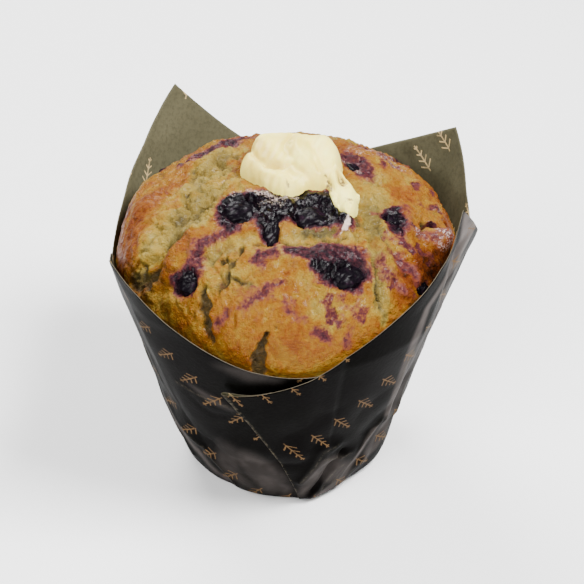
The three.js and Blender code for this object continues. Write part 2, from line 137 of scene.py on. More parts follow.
def outside(stroke, x, y):
    """Distance in mm outside a stroke, whose points each give x, y and the stroke's half width there."""
    least = np.full_like(x, 1e3)
    points = stroke if len(stroke) > 1 else stroke * 2
    for (x0, y0, r0), (x1, y1, r1) in zip(points, points[1:]):
        dx, dy = x1 - x0, y1 - y0
        k = np.clip(((x - x0) * dx + (y - y0) * dy) / (dx * dx + dy * dy + 1e-9), 0, 1)
        least = np.minimum(least, np.hypot(x - x0 - k * dx, y - y0 - k * dy) - r0 - k * (r1 - r0))
    return least


def painted(strokes, x, y, ragged, soft):
    """The strongest of some strokes at each place, their edges ragged and soft by so many mm."""
    wander = ragged * rough(x, y, 2.6, 3, seed=3)
    best = np.zeros_like(x)
    for strength, stroke in strokes:
        best = np.maximum(best, strength * ease(0.5 - (outside(stroke, x, y) + wander) / soft))
    return best


# The wall of the case

# Tips: bearing, radius, height, the powers of the fall and of the flare on both sides, and the share of the
# rise that is in a narrow point
TIPS = [
    (-139.7, 52.4, 81.0, (1.5, 2.1), (2.8, 1.7), (0, 0)),
    (-28.5, 45.4, 86.5, (1.0, 1.05), (1.7, 1.7), (0.28, 0)),
    (35.0, 52.3, 77.9, (1.0, 1.65), (1.7, 1.7), (0, 0)),
    (124.0, 52.6, 82.9, (1.95, 1.3), (1.7, 2.3), (0, 0)),
]
VALLEYS = [(-83.0, 43.3, 54.4), (5.0, 45.8, 62.0), (86.0, 43.8, 60.0), (180.0, 43.5, 59.5)]
GIRTHS = {  # bearing: radius at the table, radius at the belly, and how far the wall is drawn in between
    -166.0: (26.6, 42.0, 0.0),
    -126.0: (25.4, 43.2, 0.0),
    -84.0: (25.9, 43.0, 0.0),
    -50.0: (23.6, 42.2, 0.0),
    -14.0: (25.6, 40.2, 0.8),
    35.0: (25.8, 42.8, 0.0),
    90.0: (25.6, 43.0, 0.0),
    140.0: (26.2, 43.4, 0.0),
}
ROUND = np.arange(-180.0, 180.01, 0.5)  # bearings at which the wall's measures are kept
POINT_POWER = 16  # how narrow the point of a tip is


def rim_at(bearing):
    """Radius and height of the rim at a bearing."""
    for tip, tip_radius, tip_height, falls, flares, points in TIPS:
        gone = turn_to(tip, bearing)
        side = int(gone > 0)
        reach = [(turn_to(tip, valley[0]), valley) for valley in VALLEYS]
        span, valley = min((abs(r), valley) for r, valley in reach if (r > 0) == bool(side))
        if abs(gone) <= span + 1e-9:
            k = 1 - abs(gone) / span
            radius = valley[1] + (tip_radius - valley[1]) * k ** flares[side]
            rise = (1 - points[side]) * k ** falls[side] + points[side] * k ** POINT_POWER
            return radius, valley[2] + (tip_height - valley[2]) * rise


def girth_at(bearing, index):
    """A measure of the wall at a bearing, eased between the two entries beside it."""
    gone, last = min(((turn_to(b, bearing) % 360), b) for b in GIRTHS)
    ahead, following = min(((turn_to(bearing, b) % 360) or 360, b) for b in GIRTHS)
    a, b = GIRTHS[last][index], GIRTHS[following][index]
    return a + (b - a) * float(ease(gone / (gone + ahead)))


RIM = np.array([rim_at(b) for b in ROUND])
GIRTH = np.array([[girth_at(b, i) for i in range(3)] for b in ROUND])


def around(values, bearing):
    """A measure of the wall at bearings, from its values all round."""
    return np.interp(turn_to(0, np.asarray(bearing)), ROUND, values)


def wall_radius(bearing, height):
    """Radius of the wall's inner face: straight up to the muffin's belly, and from there to the rim."""
    rim_radius, rim_height = around(RIM[:, 0], bearing), around(RIM[:, 1], bearing)
    foot, belly, hollow = (around(GIRTH[:, i], bearing) for i in range(3))
    belly = np.maximum(foot + (rim_radius - foot) * BELLY_LEVEL / rim_height, belly)
    share = height / BELLY_LEVEL
    drawn_in = hollow * np.sin(math.pi * np.clip(share, 0, 1))
    curve = 0.6 * BASE_ROUND * (1 - ease(height / BASE_ROUND))
    below = foot + (belly - foot) * share - drawn_in - curve
    above = belly + (rim_radius - belly) * (height - BELLY_LEVEL) / np.maximum(rim_height - BELLY_LEVEL, 1)
    return np.where(height < BELLY_LEVEL, below, above)


# The crown's outline, and its chart

def outline():
    """Radius, height and slope of the muffin's outline, every quarter mm along it from the top."""
    u = (1 - np.linspace(0, 1, 1500)) * math.pi / 2
    r = CROWN_RADIUS * np.cos(u) ** (2 / CROWN_POWER)
    z = CROWN_LEVEL + CROWN_RISE * np.sin(u) ** (2 / CROWN_POWER)
    k = np.linspace(0, 1, 80)[1:]
    r = np.append(r, CROWN_RADIUS - (CROWN_RADIUS - NECK_RADIUS) * k ** 2)
    z = np.append(z, CROWN_LEVEL - (CROWN_LEVEL - NECK_LEVEL) * k)
    reach = np.append(0, np.cumsum(np.hypot(np.diff(r), np.diff(z))))
    even = np.arange(0, reach[-1], 0.25)
    r, z = np.interp(even, reach, r), np.interp(even, reach, z)
    return even, r, z, np.arctan2(-np.gradient(z), np.gradient(r))


REACH, OUT_R, OUT_Z, OUT_SLOPE = outline()


def on_crown(x, y, height):
    """The place in space of a point of the chart, raised by a height."""
    reach = np.hypot(x, y)
    r, z, slope = (np.interp(reach, REACH, column) for column in (OUT_R, OUT_Z, OUT_SLOPE))
    c, s = x / np.maximum(reach, 1e-9), y / np.maximum(reach, 1e-9)
    r = r + height * np.sin(slope)
    z = z + height * np.cos(slope)
    bearing = np.degrees(np.arctan2(y, x))
    in_case = z < around(RIM[:, 1], bearing) + 2
    r = np.where(in_case, np.minimum(r, wall_radius(bearing, z) - GAP), r)
    lean = CROWN_LEAN * np.maximum(0, (z - CROWN_LEVEL) / CROWN_RISE)
    return np.stack([r * c, r * s + lean, z], axis=-1)


def polar(bearing, reach):
    return reach * math.cos(math.radians(bearing)), reach * math.sin(math.radians(bearing))


# Forms of the crown. Swellings: bearing, reach, half length, half width, turn of the length, height
SWELLINGS = [
    (176, 39, 19, 6, 88, 2),
    (128, 33, 12, 5, 40, 1),
    (-140, 34, 9, 2.6, 38, 1.7),
    (-92, 45, 17, 6, 0, 0.7),
    (-62, 47, 10, 5, 28, 0.6),
    (-76, 30.5, 8, 4, -4, 1.1),
    (-15.5, 40, 3.8, 3.2, 60, 2.2),
    (-16, 40.6, 2.6, 2.2, 60, 1.8),
    (12, 34, 9, 5, 100, 0.9),
    (-75, 27, 12, 2.4, 4, 0.7),
    (78, 42, 7, 5, -20, 1.4),
    (-162, 25, 13, 4.6, 50, -1.7),
    (-147, 39, 6, 3.6, 60, -1.5),
    (-138.5, 43.5, 4.4, 2.6, 0, -1.1),
    (-84, 22.5, 11, 2, 6, -1.1),
    (98, 38, 8, 3.5, -70, -1.4),
]
# Cracks and holes: depth, then the points of the stroke with half widths
CRACKS = [
    (1.7, [(-5.6, -45, 0.1), (-6.4, -47.3, 0.9), (-7.9, -50, 1.9), (-8.6, -53, 2.2), (-9, -57, 1.6)]),
    (2.2, [(-19.5, -33.8, 0.3), (-20.4, -36.2, 1.2), (-21, -39.4, 1.6), (-20.6, -42.4, 1.4),
           (-20.2, -46, 0.3)]),
    (1.3, [(-10.6, -24.6, 0.5), (-11.3, -26.5, 0.2), (-12.6, -28, 0.5), (-13.4, -30.4, 0.6),
           (-14.6, -33, 0.5), (-16.8, -34.8, 0.3)]),
    (1, [(-13.2, -32, 0.4), (-11, -33.4, 0.6), (-8.8, -34.2, 0.2)]),
    (2, [(-15, -27.4, 0.9)]),
    (1.2, [(-21.4, -7.2, 0.6)]),
    (1, [(-17.6, 2.4, 0.2), (-15.5, 4.2, 0.4), (-13, 6.5, 0.3)]),
    (0.9, [(-23.2, -1.5, 0.3), (-25, -4, 0.3), (-24, -9.5, 0.2), (-22.6, -11.4, 0.3)]),
    (1.6, [(-21.5, -14.6, 0.2), (-25, -17, 0.4), (-28.4, -19.8, 0.6), (-31.6, -22.4, 0.8), (-34, -25, 1)]),
    (1.3, [(-33.6, -24.4, 1), (-36.5, -25.2, 1.9), (-40, -23.4, 1.5), (-43, -20.4, 0.8)]),
    (1.2, [(-36.6, -20.6, 0.3), (-38.4, -22.6, 0.5)]),
    (1.1, [(-8, -23.6, 0.4), (-3, -24.3, 0.5), (3, -24.5, 0.3), (9, -23.7, 0.3), (14, -21.6, 0.2)]),
    (0.7, [(21, -26.5, 0.3), (21.3, -31, 0.5), (22.4, -35, 0.5), (25, -38.5, 0.2)]),
    (0.9, [(32.6, -13.6, 0.3), (33, -11, 0.4), (34.8, -9, 0.5)]),
    (3, [(34.8, -9, 0.5), (36.6, -7.8, 1.1), (38.2, -7, 0.7)]),
    (0.9, [(37.4, -1.6, 0.4)]),
    (0.9, [(-3.1, -43.9, 0.15), (-2.7, -44.9, 0.1)]),
    (0.8, [(16.5, -12.5, 0.3), (16.9, -15.4, 0.5)]),
    (0.8, [(24, -21, 0.2), (21.8, -15.8, 0.3), (22.6, -11, 0.2)]),
    (1.8, [(-37, 20, 0.4), (-31, 31, 0.8), (-36, 41, 0.6)]),
    (2, [(16, 30, 0.5), (23, 35, 1), (25, 43, 1.2), (26, 50, 0.8)]),
    (1.6, [(-10, 28, 0.4), (-5, 36, 0.8), (-9, 45, 0.8)]),
    (1.5, [(40, 22, 0.3), (36, 30, 0.7), (40, 38, 0.5)]),
]
# Paler, torn crumb, lower than the crust: strength, then the stroke
CRUMB = [
    (1, [(-14, 17, 2.5), (-18, 12, 5.5), (-20, 5, 5.5), (-21, -4, 6), (-23, -11, 6.2), (-29, -13.5, 4.6),
           (-34, -18.5, 3.6), (-38, -22, 2.6)]),
    (0.2, [(-36, -30.5, 2.6), (-31, -34, 3.4), (-26, -36.5, 3), (-24.6, -40.5, 2.6), (-27, -42, 2)]),
    (0.7, [(-13.6, 8, 1.6), (-12.8, 2, 2), (-12, -3.4, 1.4)]),
    (0.6, [(-18, -25, 2.4), (-13, -23, 3), (-8.5, -22.6, 2.2)]),
    (0.9, [(4, -21, 2.2), (9, -20.2, 2.4), (14, -18.4, 2.2)]),
    (0.9, [(17, -20.5, 2.4), (19.4, -15, 3), (20.4, -9.5, 3), (22, -3, 3.2), (22, 3, 2.8)]),
    (0.9, [(20.8, -25.5, 1.4), (21.2, -31, 1.6), (22.4, -35.5, 1.6), (25, -39, 1)]),
    (0.5, [(8, -38.5, 1.6), (11, -39.4, 1.2)]),
    (0.8, [(-31, 26, 3), (-33, 36, 3)]),
    (0.8, [(14, 27, 3), (21, 35, 4), (22, 42, 3)]),
    (0.8, [(-8, 32, 3.4), (-6, 41, 2.6)]),
    (0.7, [(38, 24, 2.6), (37, 32, 2.4)]),
]
# Where the crust is smoother: strength, then the stroke
CALM = [
    (1, [(-22, -50, 4), (-12, -49, 4.5), (0, -49, 6), (10, -51, 5), (20, -48, 3)]),
    (0.6, [(-36, -31, 3), (-30, -37, 4), (-26, -44, 4)]),
    (0.8, [(-48, -12, 5), (-47, 0, 5), (-42, 12, 4), (-34, 22, 4)]),
    (0.6, [(-8, -41, 4), (4, -44, 5)]),
    (0.5, [(-30, 44, 8), (0, 50, 8), (36, 40, 8)]),
]
# Where the crust is paler and yellower: strength, then the stroke
GOLDEN = [
    (1, [(-21, -26, 2.5), (-15, -24, 4.5), (-7, -24, 3.5), (4, -23, 3.5), (13, -22, 3.5)]),
    (1, [(-19, -33, 3), (-12, -30, 4)]),
    (1, [(20, -4, 5), (20, -14, 5), (22, -30, 3.5), (23, -37, 3)]),
    (0.8, [(3, -33, 3), (9, -38, 5), (14, -40, 4)]),
    (1, [(-30, -8, 3), (-33, -14, 4)]),
    (0.3, [(-36, -30, 3), (-31, -34, 4), (-26, -37.5, 4), (-26, -43, 3)]),
    # this row along the front rim is also painted paler, to lift the shade that falls beside the case's wall
    (0.25, [(-22, -52, 3), (-10, -57, 3), (4, -58, 3), (16, -55, 3)]),
    (0.7, [(27, 5, 5), (24, 12, 5)]),
    (0.6, [(-34, 30, 5), (-6, 38, 6), (22, 38, 5)]),
]
# Deeper browning of the crust: strength, then the stroke
BROWNED = [
    (0.85, [(-49, -14, 4), (-47, -5, 5), (-43, 1, 3.4)]),
    (0.6, [(-42, -14, 3.4), (-38, -3, 3), (-31, 2, 3)]),
    (0.45, [(-24, 7.5, 2.4), (-27, 3, 2.2)]),
    (0.75, [(28, -32, 3), (32, -25, 4.2), (38, -19, 3.6), (42, -12, 3.4)]),
    (0.6, [(45, -6, 3), (44, 3, 3), (40, 12, 3), (33, 18, 2.6)]),
    (0.5, [(24, -42, 3), (29, -37, 3)]),
    (0.75, [(18.8, -3.4, 1.3), (19.4, -8, 1.2)]),
    (0.55, [(0, -20.4, 1.2), (3.4, -20.8, 0.9)]),
    (0.4, [(-9.4, -20, 0.9), (-7, -19.6, 0.9)]),
    (0.3, [(-22.6, -17.2, 1), (-25, -21, 1.4), (-29, -25, 1.3), (-31.6, -27.2, 0.9)]),
    (0.6, [(-14.5, 26, 2), (-9, 28, 2)]),
    (0.4, [(27, 3, 3), (26, 10, 3.4)]),
    (0.6, [(-28, -39.4, 2), (-25.6, -39, 1.6)]),
    (0.6, [(-38, 40, 5), (-12, 52, 4), (14, 52, 4), (42, 34, 4)]),
]
# Berry juice in the crust: strength, then the stroke
JUICE = [
    (1, [(-12.4, -11, 4.8), (-8, -11, 4.8), (-3, -11.4, 5.8), (3, -11.8, 6), (7.4, -12.6, 6.8),
           (12, -14.8, 3.8)]),
    (1, [(-4.6, -13, 3.8), (-4.5, -18, 2.4), (-4.2, -22, 1.9)]),
    (0.85, [(-14.6, -14, 3), (-13, -18.4, 2.2)]),
    (0.6, [(-13.5, -18, 1.8), (-17, -20.4, 1.8), (-20.6, -22, 2.1), (-22.3, -25, 2.7), (-23.4, -28.6, 3.6)]),
    (0.95, [(-24.8, -30.2, 3.6)]),
    (0.74, [(-27, 14, 1.3), (-24, 16, 1.7), (-21, 18, 2), (-17, 20.5, 1.6), (-13.5, 22.5, 2),
            (-11, 25, 1.4)]),
    (0.35, [(-40, -2, 0.9), (-38.5, -7, 0.8)]),
    (0.4, [(-32.6, 4, 0.5), (-30, 1, 0.5)]),
    (0.6, [(-8.2, -28.2, 1), (-5.8, -27.7, 2.3), (-3.4, -27.2, 1.6)]),
    (0.45, [(-6.3, -31.3, 0.5)]),
    (0.6, [(-9.6, -38.6, 1.2), (-7, -37.4, 1.9), (-5, -36, 1.4), (-3, -34.8, 1), (-0.5, -34.2, 0.7)]),
    (0.5, [(-11.8, -39.6, 0.3), (-10.2, -39.2, 0.5)]),
    (0.55, [(-18.3, -42.2, 0.9), (-16.8, -41.4, 1), (-15, -39.8, 0.6)]),
    (0.6, [(-0.5, -38.2, 0.8), (0.2, -40.5, 1.3), (2.2, -42, 1.3), (3.8, -42.6, 1)]),
    (0.35, [(1.3, -36, 0.4), (2.6, -36.6, 0.5)]),
    (0.58, [(6.3, -44.8, 0.8), (9, -46, 1.5), (11.3, -46.9, 1.4)]),
    (0.5, [(15.8, -45, 0.9), (16, -47, 1)]),
    (0.4, [(14, -41, 0.9), (15.4, -43, 1), (16.2, -41.5, 0.7)]),
    (0.4, [(17, -36, 0.6), (17.4, -39, 0.6)]),
    (0.74, [(0, -26.4, 1.3), (4, -27.4, 1.9), (8, -27.4, 3), (12, -27.2, 3.6), (16, -27.6, 3.6),
            (18.4, -30.4, 2.6)]),
    (1, [(5.8, -30, 1.2), (10.4, -31.2, 3), (14.8, -31.6, 4.3)]),
    (0.95, [(26.2, -11, 3), (26.6, -14.8, 2.2)]),
    (0.95, [(35.4, -8.8, 0.5), (37.2, -7.8, 0.9)]),
    (0.5, [(22.8, -26, 1.6), (24.6, -28.6, 2), (28, -30.6, 1.8)]),
    (0.45, [(12, -36.5, 0.8), (14.6, -38.6, 1), (17.4, -40.6, 1), (16.4, -44, 0.9)]),
    (0.5, [(28.8, -6.5, 1), (29.5, -12, 1.2), (27.6, -17, 1.4), (25, -18.4, 1.2)]),
    (0.5, [(31.6, -13, 1.4), (35.6, -12.4, 2.2), (39, -10.5, 3.2)]),
    (0.56, [(26, -22.6, 1.6), (29, -24.5, 2), (31.6, -24, 1.8), (33.4, -27, 1.3)]),
    (0.3, [(27.6, -28.4, 2)]),
    (0.64, [(14.4, 13, 2.4), (16.2, 9, 4.2), (18.4, 4.6, 3.4), (20.2, 1.6, 1.4)]),
    (0.32, [(15, 19, 1.6), (22, 17, 1.8), (28, 13, 1.6), (33, 7, 1.2)]),
    (0.8, [(35.6, -26.4, 1.2)]),
    (0.5, [(-12.8, 5.6, 0.6), (-12.4, 9, 0.5)]),
    (0.75, [(14, -15.4, 0.9), (13.2, -18, 1.2), (11.6, -20.6, 0.9)]),
    (0.8, [(5, 45, 4.4), (9, 41, 1.6)]),
    (0.8, [(-37, 25, 4), (-33, 21, 1.2)]),
    (0.8, [(33, 28, 4), (29, 25, 1.4)]),
    (0.6, [(-20, 33, 1), (-17, 37, 1.6), (-13, 38, 0.8)]),
    (0.5, [(8, 33, 1), (12, 36, 0.8)]),
]
# Where the crust is thinly tinted by juice in small patches: strength, then the stroke
TINTED = [
    (1, [(22, 20, 6), (31, 13, 7), (38, 2, 6)]),
    (1, [(26, -10, 6), (32, -20, 7), (28, -32, 6)]),
    (0.9, [(6, -38, 6), (16, -40, 6)]),
    (0.7, [(-30, 20, 4), (-16, 26, 5)]),
    (0.5, [(-10, -33, 6), (-44, -8, 4)]),
]
# Skins of burst berries, drawn into wrinkles: strength, then the stroke
SKINS = [
    (1, [(0, -26.6, 0.6), (4, -27.2, 1), (8, -26.4, 1.7), (12, -26, 2.2), (16, -26.8, 2.4),
           (18.4, -29.4, 1.8)]),
    (1, [(14.4, 13, 1.8), (16.2, 9, 3.2), (18.4, 4.6, 2.6)]),
    (1, [(-27, 14, 0.9), (-24, 16, 1.3), (-21, 18, 1.6), (-17, 20.5, 1.2), (-13.5, 22.5, 1.6),
           (-11, 25, 1)]),
]
# Cool greenish grey of the damp crumb: strength, then the stroke
GREYED = [
    (0.8, [(4.6, -20.8, 1.8), (9, -20, 2), (12.6, -18.6, 1.6)]),
    (0.7, [(15.4, -13, 0.8), (16.6, -16, 1)]),
    (0.8, [(-13.6, -30, 0.8), (-15, -32.4, 1.2), (-16.4, -34, 0.8)]),
    (0.7, [(-11.4, -33, 0.8), (-9.2, -34, 0.7)]),
    (0.5, [(-24, -12, 3), (-28, -17, 2.4)]),
    (0.6, [(-33.6, -24, 1.2), (-37, -25, 2.4), (-42, -20.6, 1.6)]),
    (0.4, [(-17, 7, 3), (-16, 13, 3)]),
    (0.35, [(20.4, -12, 2), (21.6, -31, 1)]),
]
# Thin white smears of cream, and painted highlights on skins, the knob and crust: strength, then the stroke
CREAM_SMEARS_AND_HIGHLIGHTS = [
    (0.5, [(-9.4, -6.4, 1.2), (-6, -8, 1.5), (-2.4, -9.2, 1.4), (1.6, -9.6, 1.1)]),
    (0.25, [(-6, -11.4, 1.4), (-1.4, -12, 1.2)]),
    (0.3, [(-13, -6, 1), (-10.4, -5.4, 1)]),
    # painted highlights on the wrinkled skin beside the cream
    (0.4, [(12.8, 10, 0.8), (15, 9, 1.6), (17, 4, 1.2)]),
    (1.4, [(14.3, -14.4, 0.5), (13.9, -16.6, 0.7), (13.3, -18.6, 0.6), (12.4, -20.6, 0.4)]),
    (1.4, [(13.6, -18, 0.3), (14.8, -18.6, 0.2)]),
    (0.9, [(8.2, -5.6, 0.3), (9.8, -8.4, 0.35), (11.6, -11.4, 0.25)]),
    # painted highlights on the lumps and the skin at the upper left
    (0.3, [(-16.8, 0.4, 0.8), (-15, 2, 0.6)]),
    (0.3, [(-26, 13.6, 0.8), (-23.6, 15, 0.7)]),
    # painted highlights on the knob at the right
    (0.3, [(32.2, -13, 1.8)]),
    (0.36, [(37, -10, 2), (39, -12, 2.6)]),
    # painted highlight specks on the glossy crust at the upper right
    (0.3, [(16, 15, 2.4), (24, 18, 3), (31, 12, 2)]),
]

# Blueberries: name, chart bearing and reach, half sizes along the bearing, across it and outwards, depth sunk
BERRIES = [
    ("berry_left", -129, 39.4, (3.5, 3.1, 3), 1.2),
    ("berry_upper_left", -134, 16.8, (4.4, 4.6, 3), 1.7),
    ("berry_middle_left", -101, 20, (5, 2.4, 2.2), 1.6),
    ("berry_middle_right", -68, 15.6, (4.6, 5.2, 2.8), 1.8),
    ("berry_right", -65.5, 34.8, (3.2, 4.6, 2.7), 1.4),
    ("berry_far_right", -24, 28.4, (2.6, 3.4, 2.4), 1.5),
    ("berry_beside_cream", 26, 18, (2.4, 4.2, 2), 1.4),
    ("berry_rim", -37, 45, (1.9, 2.3, 2), 1.2),
    ("berry_back", 84, 45.5, (3.6, 4, 3), 1.3),
    ("berry_back_left", 146, 45, (3.3, 3.6, 3), 1.4),
    ("berry_back_right", 40, 44, (3.4, 3.2, 2.8), 1.2),
]


def swell(x, y):
    total = np.zeros_like(x)
    for bearing, reach, long, wide, turn, height in SWELLINGS:
        u, v = seen_from(polar(bearing, reach), turn, x, y)
        total += height * np.exp(-(u / long) ** 2 - (v / wide) ** 2)
    return total


def crown_fields(x, y):
    """Height of the relief and the shares of each finish, at places of the chart."""
    wx = x + 0.7 * rough(x, y, 3.1, 2, seed=1)
    wy = y + 0.7 * rough(x, y, 3.1, 2, seed=2)
    crumb = painted(CRUMB, x, y, 1.6, 1.6)
    browned = painted(BROWNED, x, y, 1.8, 4.5)
    juice = painted(JUICE, x, y, 0.9, 3.6)
    greyed = painted(GREYED, x, y, 0.9, 2.2)
    creamed_and_highlit = painted(CREAM_SMEARS_AND_HIGHLIGHTS, x, y, 0.55, 0.8)

    # Crust: broad swellings with a few soft crevices, and fine grain
    crevice = np.exp(-(rough(wx, wy, 9, 2, seed=5) / 0.07) ** 2) * ease(rough(x, y, 17, 2, seed=19) * 1.6)
    height = swell(x, y) + 0.5 * rough(x, y, 11, 2)
    calm = painted(CALM, x, y, 2.0, 6.0)
    uneven = 0.55 * billow(wx, wy, 5.2, seed=6) + 0.32 * billow(x, y, 2.3, seed=17)
    uneven = uneven + 0.16 * billow(x, y, 1.1, seed=18)
    rumpled = painted(TINTED, x, y, 2.0, 6.0)
    uneven += rumpled * (0.4 * billow(wx, wy, 2.8, seed=33) - 0.15)
    height += (1 - 0.7 * calm) * (uneven - 0.5) + 0.07 * rough(x, y, 0.9, 2, seed=25)
    height -= 0.55 * crevice * (1 - juice)
    # Torn crumb: lower, with round lumps of many sizes and sharp gaps between them
    torn = 0.35 + 0.65 * ease(rough(x, y, 7, 2, seed=28) + 0.5)
    small = 0.55 * billow(x, y, 2.2, seed=8) + 0.26 * billow(x, y, 1.0, seed=9)
    lumps = 0.95 * billow(wx, wy, 4.6, seed=7) + torn * small
    pores = np.exp(-(lumps / 0.3) ** 2)
    height += crumb * (1.35 * lumps - 1.5 - 0.3 * pores)
    # Cracks and holes with ragged sides
    depth = np.zeros_like(x)
    ragged = 0.5 * rough(x, y, 2.2, 2, seed=10) + 0.22 * rough(x, y, 0.8, 1, seed=26)
    for deep, stroke in CRACKS:
        depth = np.maximum(depth, deep * ease(0.5 - (outside(stroke, wx, wy) + ragged) / 0.7))
    height -= depth * (1 + 0.25 * rough(x, y, 1.3, 2, seed=11))
    # The crust rises round each berry and leaves room under it
    wander = 0.35 * rough(x, y, 1.6, 2, seed=12)
    for _, bearing, reach, size, _ in BERRIES:
        u, v = seen_from(polar(bearing, reach), bearing, x, y)
        d = (np.hypot(u / size[0], v / size[1]) - 1) * min(size[:2]) + wander
        height += 0.15 * np.exp(-((d - 0.9) / 1.1) ** 2)
        height -= 1.1 * ease(0.35 - d / 1.6)
    # Wrinkled skin of the burst berry and of the lumps that juice covers
    skin = painted(SKINS, x, y, 0.3, 1.4)
    height += skin * 0.22 * np.sin(2.1 * wy + 0.5 * wx + 1.2 * rough(x, y, 2.4, 2, seed=13))
    wet = ease((juice - 0.6) / 0.35)
    lumps = 0.7 * billow(wx, wy, 3.4, seed=12) + 0.16 * billow(x, y, 1.4, seed=14) - 0.2
    height += wet * (1 - 0.8 * skin) * lumps

    # The relief fades out below the rim, where the case hides the muffin
    shown = 1 - ease((np.hypot(x, y) - RELIEF_REACH) / RELIEF_FADE)
    height = np.where(height > 0, height * shown, height * np.sqrt(shown))
    patches = ease(rough(x, y, 7, 2, seed=27) + 0.35)
    # the damp crumb's own grey, plus painted shade: darker in cracks and holes, crevices and the gaps between
    # crumb lumps
    damp_grey_and_shade = greyed + 1.1 * ease(depth / 1.2) + crumb * (0.7 * pores + 0.4 * patches) + 0.35 * crevice
    damp_grey_and_shade = np.clip(damp_grey_and_shade, 0, 1)
    golden = painted(GOLDEN, x, y, 2.0, 5.0)
    brown = 0.5 + 0.13 * rough(x, y, 8, 3, seed=15) + 0.07 * rough(x, y, 2.2, 2, seed=32)
    brown = brown + 0.45 * browned - 0.24 * golden
    tinted = rumpled * ease(rough(x, y, 3.4, 3, seed=31) / 0.5 - 0.1)
    juice = np.maximum(juice, 0.56 * tinted)
    brown = brown * (1 - 0.85 * crumb) + 0.06 * crumb + 0.12 * crumb * rough(x, y, 4, 2, seed=16)
    return height, {"brown": brown, "juice": juice, "damp_grey_and_shade": damp_grey_and_shade, "cream": creamed_and_highlit, "crumb": crumb}


# Meshes

def build(name, points, faces, attributes=None):
    """An object from points in mm and faces, with a number for each point under each attribute's name."""
    mesh = bpy.data.meshes.new(name)
    mesh.from_pydata((np.asarray(points) * MM).tolist(), [], faces)
    for key, values in (attributes or {}).items():
        mesh.attributes.new(key, "FLOAT", "POINT").data.foreach_set("value", np.asarray(values, float))
    mesh.update()
    mesh.shade_smooth()
    piece = bpy.data.objects.new(name, mesh)
    bpy.context.scene.collection.objects.link(piece)
    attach(piece, "root")
    return piece


def upright(radius, bearing, height):
    """Points at a radius, a bearing and a height."""
    angle = np.radians(bearing)
    columns = np.broadcast_arrays(radius * np.cos(angle), radius * np.sin(angle), height)
    return np.stack(columns, axis=-1)


def grid_faces(rows, columns, closed=False):
    """Faces between rows of points; a closed grid joins its last column to its first."""
    count = columns if closed else columns - 1
    row, column = np.meshgrid(np.arange(rows - 1), np.arange(count), indexing="ij")
    after = (column + 1) % columns
    here, above = row * columns, (row + 1) * columns
    quads = [here + column, here + after, above + after, above + column]
    return np.stack(quads, axis=-1).reshape(-1, 4).tolist()


def muffin():
    # A square grid, drawn into a round one
    n = CROWN_GRID
    side = np.linspace(-1, 1, n + 1)
    a, b = np.meshgrid(side, side)
    flat = np.abs(a) > np.abs(b)
    rho = np.where(flat, a, b)
    safe = np.where(rho == 0, 1, rho)
    turn = np.where(flat, math.pi / 4 * b / safe, math.pi / 2 - math.pi / 4 * a / safe)
    x, y = (rho * np.cos(turn) * CROWN_REACH).ravel(), (rho * np.sin(turn) * CROWN_REACH).ravel()
    height, finish = crown_fields(x, y)
    points = on_crown(x, y, height)
    faces = grid_faces(n + 1, n + 1)
    # Down the hidden side to the underside
    edge = np.concatenate([np.arange(n), n + (n + 1) * np.arange(n), (n + 1) ** 2 - 1 - np.arange(n),
                           (n + 1) * (n - np.arange(n))])
    start, count = len(points), len(edge)
    bearing = np.degrees(np.arctan2(points[edge, 1], points[edge, 0]))
    parts, rings = [points], [edge]
    for level in HIDDEN_LEVELS:
        # The last ring is drawn in, which rounds the edge of the underside
        drawn_in = 0.8 if level == HIDDEN_LEVELS[-1] else 0
        parts.append(upright(wall_radius(bearing, level) - HIDDEN_GAP - drawn_in, bearing, level))
        rings.append(start + (len(rings) - 1) * count + np.arange(count))
    for upper, lower in zip(rings, rings[1:]):
        faces += np.stack([np.roll(upper, -1), upper, lower, np.roll(lower, -1)], axis=-1).tolist()
    parts.append(np.array([[0, 0, HIDDEN_LEVELS[-1]]]))
    points = np.concatenate(parts)
    middle = len(points) - 1
    faces += [(middle, int(p), int(q)) for p, q in zip(np.roll(rings[-1], -1), rings[-1])]
    for key, values in finish.items():
        hidden = 0.3 if key == "brown" else 0
        finish[key] = np.append(values, np.full(len(points) - start, hidden))
    piece = build("muffin_crumb_and_crust", points, faces, finish)
    piece.data.materials.append(crust_material())
    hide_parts("muffin")


# Node helpers

def linear(red, green, blue):
    """A colour as seen on a screen, 0 to 255, as the shader's numbers."""
    def one(c):
        c /= 255
        return c / 12.92 if c <= 0.04045 else ((c + 0.055) / 1.055) ** 2.4
    return one(red), one(green), one(blue), 1.0


class Value:
    """What a node gives out. Sums with it are made by further nodes."""

    def __init__(self, nodes, socket):
        self.nodes = nodes
        self.socket = socket

    def __add__(self, other):
        return self.nodes.math("ADD", self, other)

    def __sub__(self, other):
        return self.nodes.math("SUBTRACT", self, other)

    def __rsub__(self, other):
        return self.nodes.math("SUBTRACT", other, self)

    def __mul__(self, other):
        return self.nodes.math("MULTIPLY", self, other)

    def __mod__(self, other):
        return self.nodes.math("FLOORED_MODULO", self, other)

    def __lt__(self, other):
        return self.nodes.math("LESS_THAN", self, other)

    def __abs__(self):
        return self.nodes.math("ABSOLUTE", self, 0.0)


